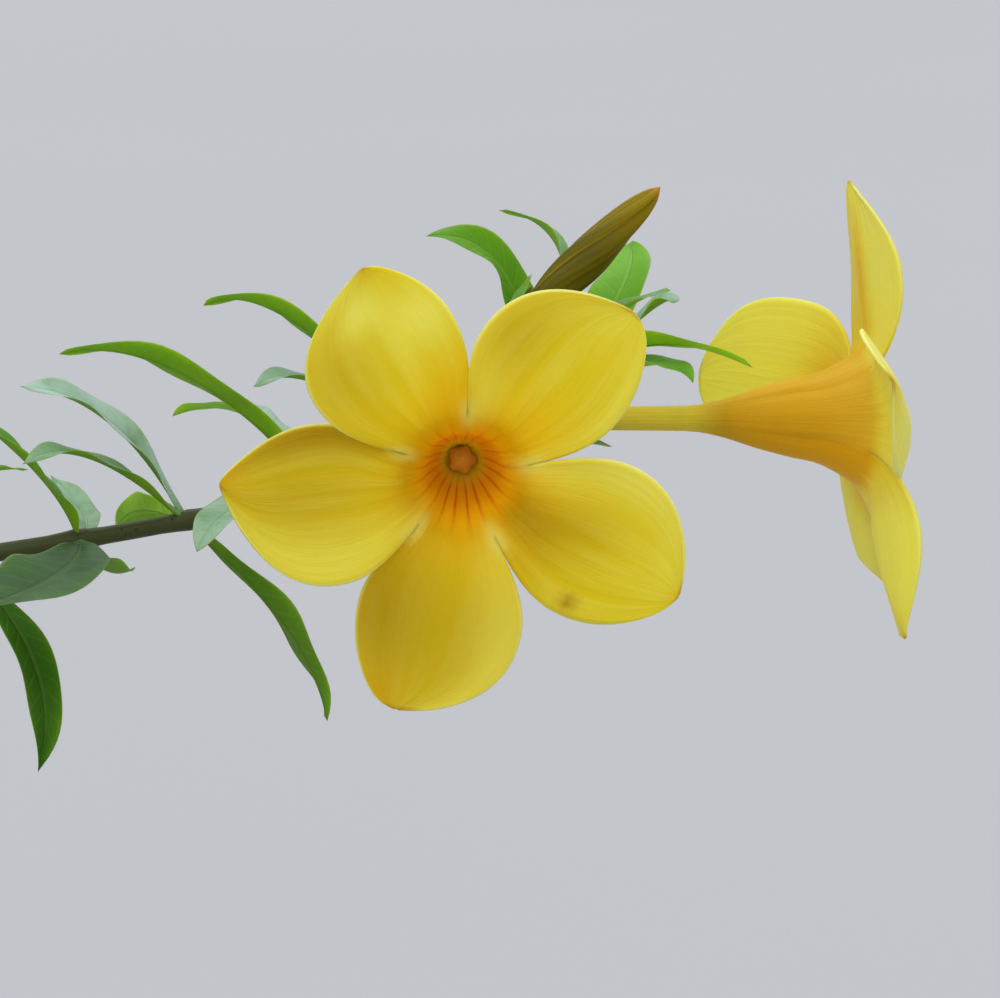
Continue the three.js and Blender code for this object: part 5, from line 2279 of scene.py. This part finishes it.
@dataclass(frozen=True)
class StemBuilder:
    """A stem's skin, its leaves, and the calyxes of its heads."""

    foot_radius: float = 3.1
    tip_radius: float = 1.25
    taper: float = 0.8
    spacing: float = 2.5
    sides: int = 14
    node_swell: float = 0.28
    node_length: float = 2.6
    flute: float = 0.02
    flutes: int = 5

    def build(self, number: int, stem: Stem, finishes: Finishes) -> None:
        """Builds one stem's pieces.

        Args:
            number: The stem's number.
            stem: Its plan.
            finishes: The materials.
        """
        node = f"leafy_stem_{number}"
        hand_over(self.wood(number, stem, finishes), Slot.FOLIAGE, node)
        form = Form()
        blade = Blade()
        for leaf in stem.leaves:
            blade.build(leaf, form)
        hand_over(form.finish(f"leaves_{number}", [finishes.leaf]), Slot.FOLIAGE, node)

    def wood(self, number: int, stem: Stem, finishes: Finishes) -> bpy.types.Object:
        """The stem's skin with a swelling at each whorl, and the calyxes at its end.

        Args:
            number: The stem's number.
            stem: Its plan.
            finishes: The materials.

        Returns:
            The piece.
        """
        form = Form()
        line = stem.line
        steps = math.ceil(line.total / self.spacing)
        spots = [line.point(line.total * step / steps) for step in range(steps + 1)]
        sections = sections_along(spots)
        feet = {tuple(round(value, 3) for value in leaf.foot) for leaf in stem.leaves}
        nodes = []
        for foot in feet:
            spot = Vector(foot)
            nearest = min(range(steps + 1), key=lambda step: (sections[step].centre - spot).length)
            nodes.append(nearest * line.total / steps)

        def radius(u: float, v: float) -> float:
            """The stem's radius, thinner to its tip and swollen at its nodes."""
            plain = mix(self.foot_radius, self.tip_radius, v**self.taper)
            at = v * line.total
            swell = max((bell(at - node, self.node_length) for node in nodes), default=0.0)
            flute = self.flute * math.cos(2 * math.pi * self.flutes * u)
            return plain * (1 + self.node_swell * swell + flute)

        tube(form, sections, self.sides, radius, tone=lambda u, v: 1 - v)
        calyx = Calyx()
        tip, direction = line.point(line.total), line.direction(line.total)
        for head in [*stem.blooms, *stem.buds]:
            calyx.build(head, tip, direction, form)
        return form.finish(f"wood_{number}", [finishes.wood, finishes.sepal])


@dataclass(frozen=True)
class HeadBuilder:
    """The corollas and buds."""

    def bloom(self, number: int, head: Head, corolla: Corolla, finishes: Finishes) -> None:
        """Builds a bloom's corolla and the scales in its throat.

        Args:
            number: The bloom's number.
            head: Its plan.
            corolla: The corolla's sizes.
            finishes: The materials.
        """
        form = corolla.build(head.petals)
        form.place_in(head.frame)
        piece = form.finish(f"corolla_{number}", [finishes.petal_outer, finishes.petal_inner])
        wall = piece.modifiers.new("wall", "SOLIDIFY")
        wall.thickness = corolla.wall * MM
        wall.offset = 0
        wall.use_rim = True
        wall.material_offset = 1
        wall.material_offset_rim = 1
        hand_over(piece, Slot.PETAL, f"bloom_{number}")
        scales = Corona().build()
        scales.place_in(head.frame)
        hand_over(scales.finish(f"corona_{number}", [finishes.corona]), Slot.PETAL, f"bloom_{number}")

    def bud(self, number: int, head: Head, finishes: Finishes) -> None:
        """Builds a bud.

        Args:
            number: The bud's number.
            head: Its plan.
            finishes: The materials.
        """
        form = Bud().build()
        form.place_in(head.frame)
        hand_over(form.finish(f"bud_skin_{number}", [finishes.bud]), Slot.BUD, f"bud_{number}")


@dataclass(frozen=True)
class Studio:
    """The floor, the light and the camera."""

    floor_radius: float = 14.0
    floor_grey: Colour = srgb(180, 181, 183)
    floor_cloud: Colour = srgb(172, 173, 176)
    sky: Colour = srgb(226, 228, 232)
    sky_strength: float = 0.85
    lamp_spread: float = 60
    key_strength: float = 1.1
    panel_strength: float = 1.2
    lens: float = 216
    sensor: float = 36
    distance: float = 1000
    centre_x: float = 5.83
    centre_y: float = -3.17

    def build(self) -> None:
        """Builds the studio."""
        self.floor()
        self.camera()
        world = bpy.data.worlds.new("studio")
        world.use_nodes = True
        back = world.node_tree.nodes["Background"]
        back.inputs["Color"].default_value = self.sky
        back.inputs["Strength"].default_value = self.sky_strength
        bpy.context.scene.world = world
        bpy.context.scene.view_settings.view_transform = "Standard"
        self.lamp("key", Vector((-0.3, -1.0, 1.2)), self.key_strength, srgb(255, 251, 244))
        self.lamp("sky_panel", Vector((0.1, 0.8, 1.5)), self.panel_strength, srgb(240, 245, 255))

    def lamp(self, name: str, way: Vector, strength: float, tint: Colour) -> None:
        """Adds a soft lamp that lights everything from one side.

        Args:
            name: The lamp's name.
            way: The direction that its light comes from.
            strength: Its strength in watts to a square metre.
            tint: Its colour.
        """
        data = bpy.data.lights.new(name, "SUN")
        data.angle = math.radians(self.lamp_spread)
        data.energy = strength
        data.color = tint[:3]
        lamp = bpy.data.objects.new(name, data)
        lamp.rotation_euler = (-way).to_track_quat("-Z", "Y").to_euler()
        bpy.context.scene.collection.objects.link(lamp)

    def floor(self) -> None:
        """Adds the pale floor."""
        form = Form()
        bmesh.ops.create_circle(form.bm, cap_ends=True, segments=96, radius=self.floor_radius / MM)
        paint = Paint("studio_floor")
        cloud = paint.noise(paint.place(), 1.2, 2)
        tint = paint.blend(cloud * 0.3, self.floor_grey, self.floor_cloud)
        paint.surface(Base_Color=tint, Roughness=0.9, Specular_IOR_Level=0.1)
        form.finish("studio_floor_disc", [paint.material])

    def camera(self) -> None:
        """Adds the camera, which looks down on the spray as the photo does."""
        data = bpy.data.cameras.new("camera")
        data.lens = self.lens
        data.sensor_width = self.sensor
        data.clip_start = 0.05
        camera = bpy.data.objects.new("camera", data)
        axes = (spray_direction(1, 0, 0), spray_direction(0, 1, 0), spray_direction(0, 0, 1))
        turned = Matrix(axes).transposed().to_4x4()
        place = spray_point(self.centre_x, self.centre_y, self.distance) * MM
        camera.matrix_world = Matrix.Translation(place) @ turned
        bpy.context.scene.collection.objects.link(camera)
        bpy.context.scene.camera = camera


def main() -> None:
    """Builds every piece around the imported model."""
    logging.basicConfig(level=logging.INFO, format="%(message)s")
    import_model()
    Studio().build()
    finishes = Finishes()
    plan = Planner()
    PotBuilder().build(finishes)
    SoilBuilder().build(finishes)
    stems = StemBuilder()
    for number, stem in enumerate(plan.stems, 1):
        stems.build(number, stem, finishes)
    heads = HeadBuilder()
    blooms = [head for stem in plan.stems for head in stem.blooms]
    for number, head in enumerate(blooms, 1):
        heads.bloom(number, head, plan.corolla, finishes)
    buds = [head for stem in plan.stems for head in stem.buds]
    for number, head in enumerate(buds, 1):
        heads.bud(number, head, finishes)


if __name__ == "__main__":
    main()
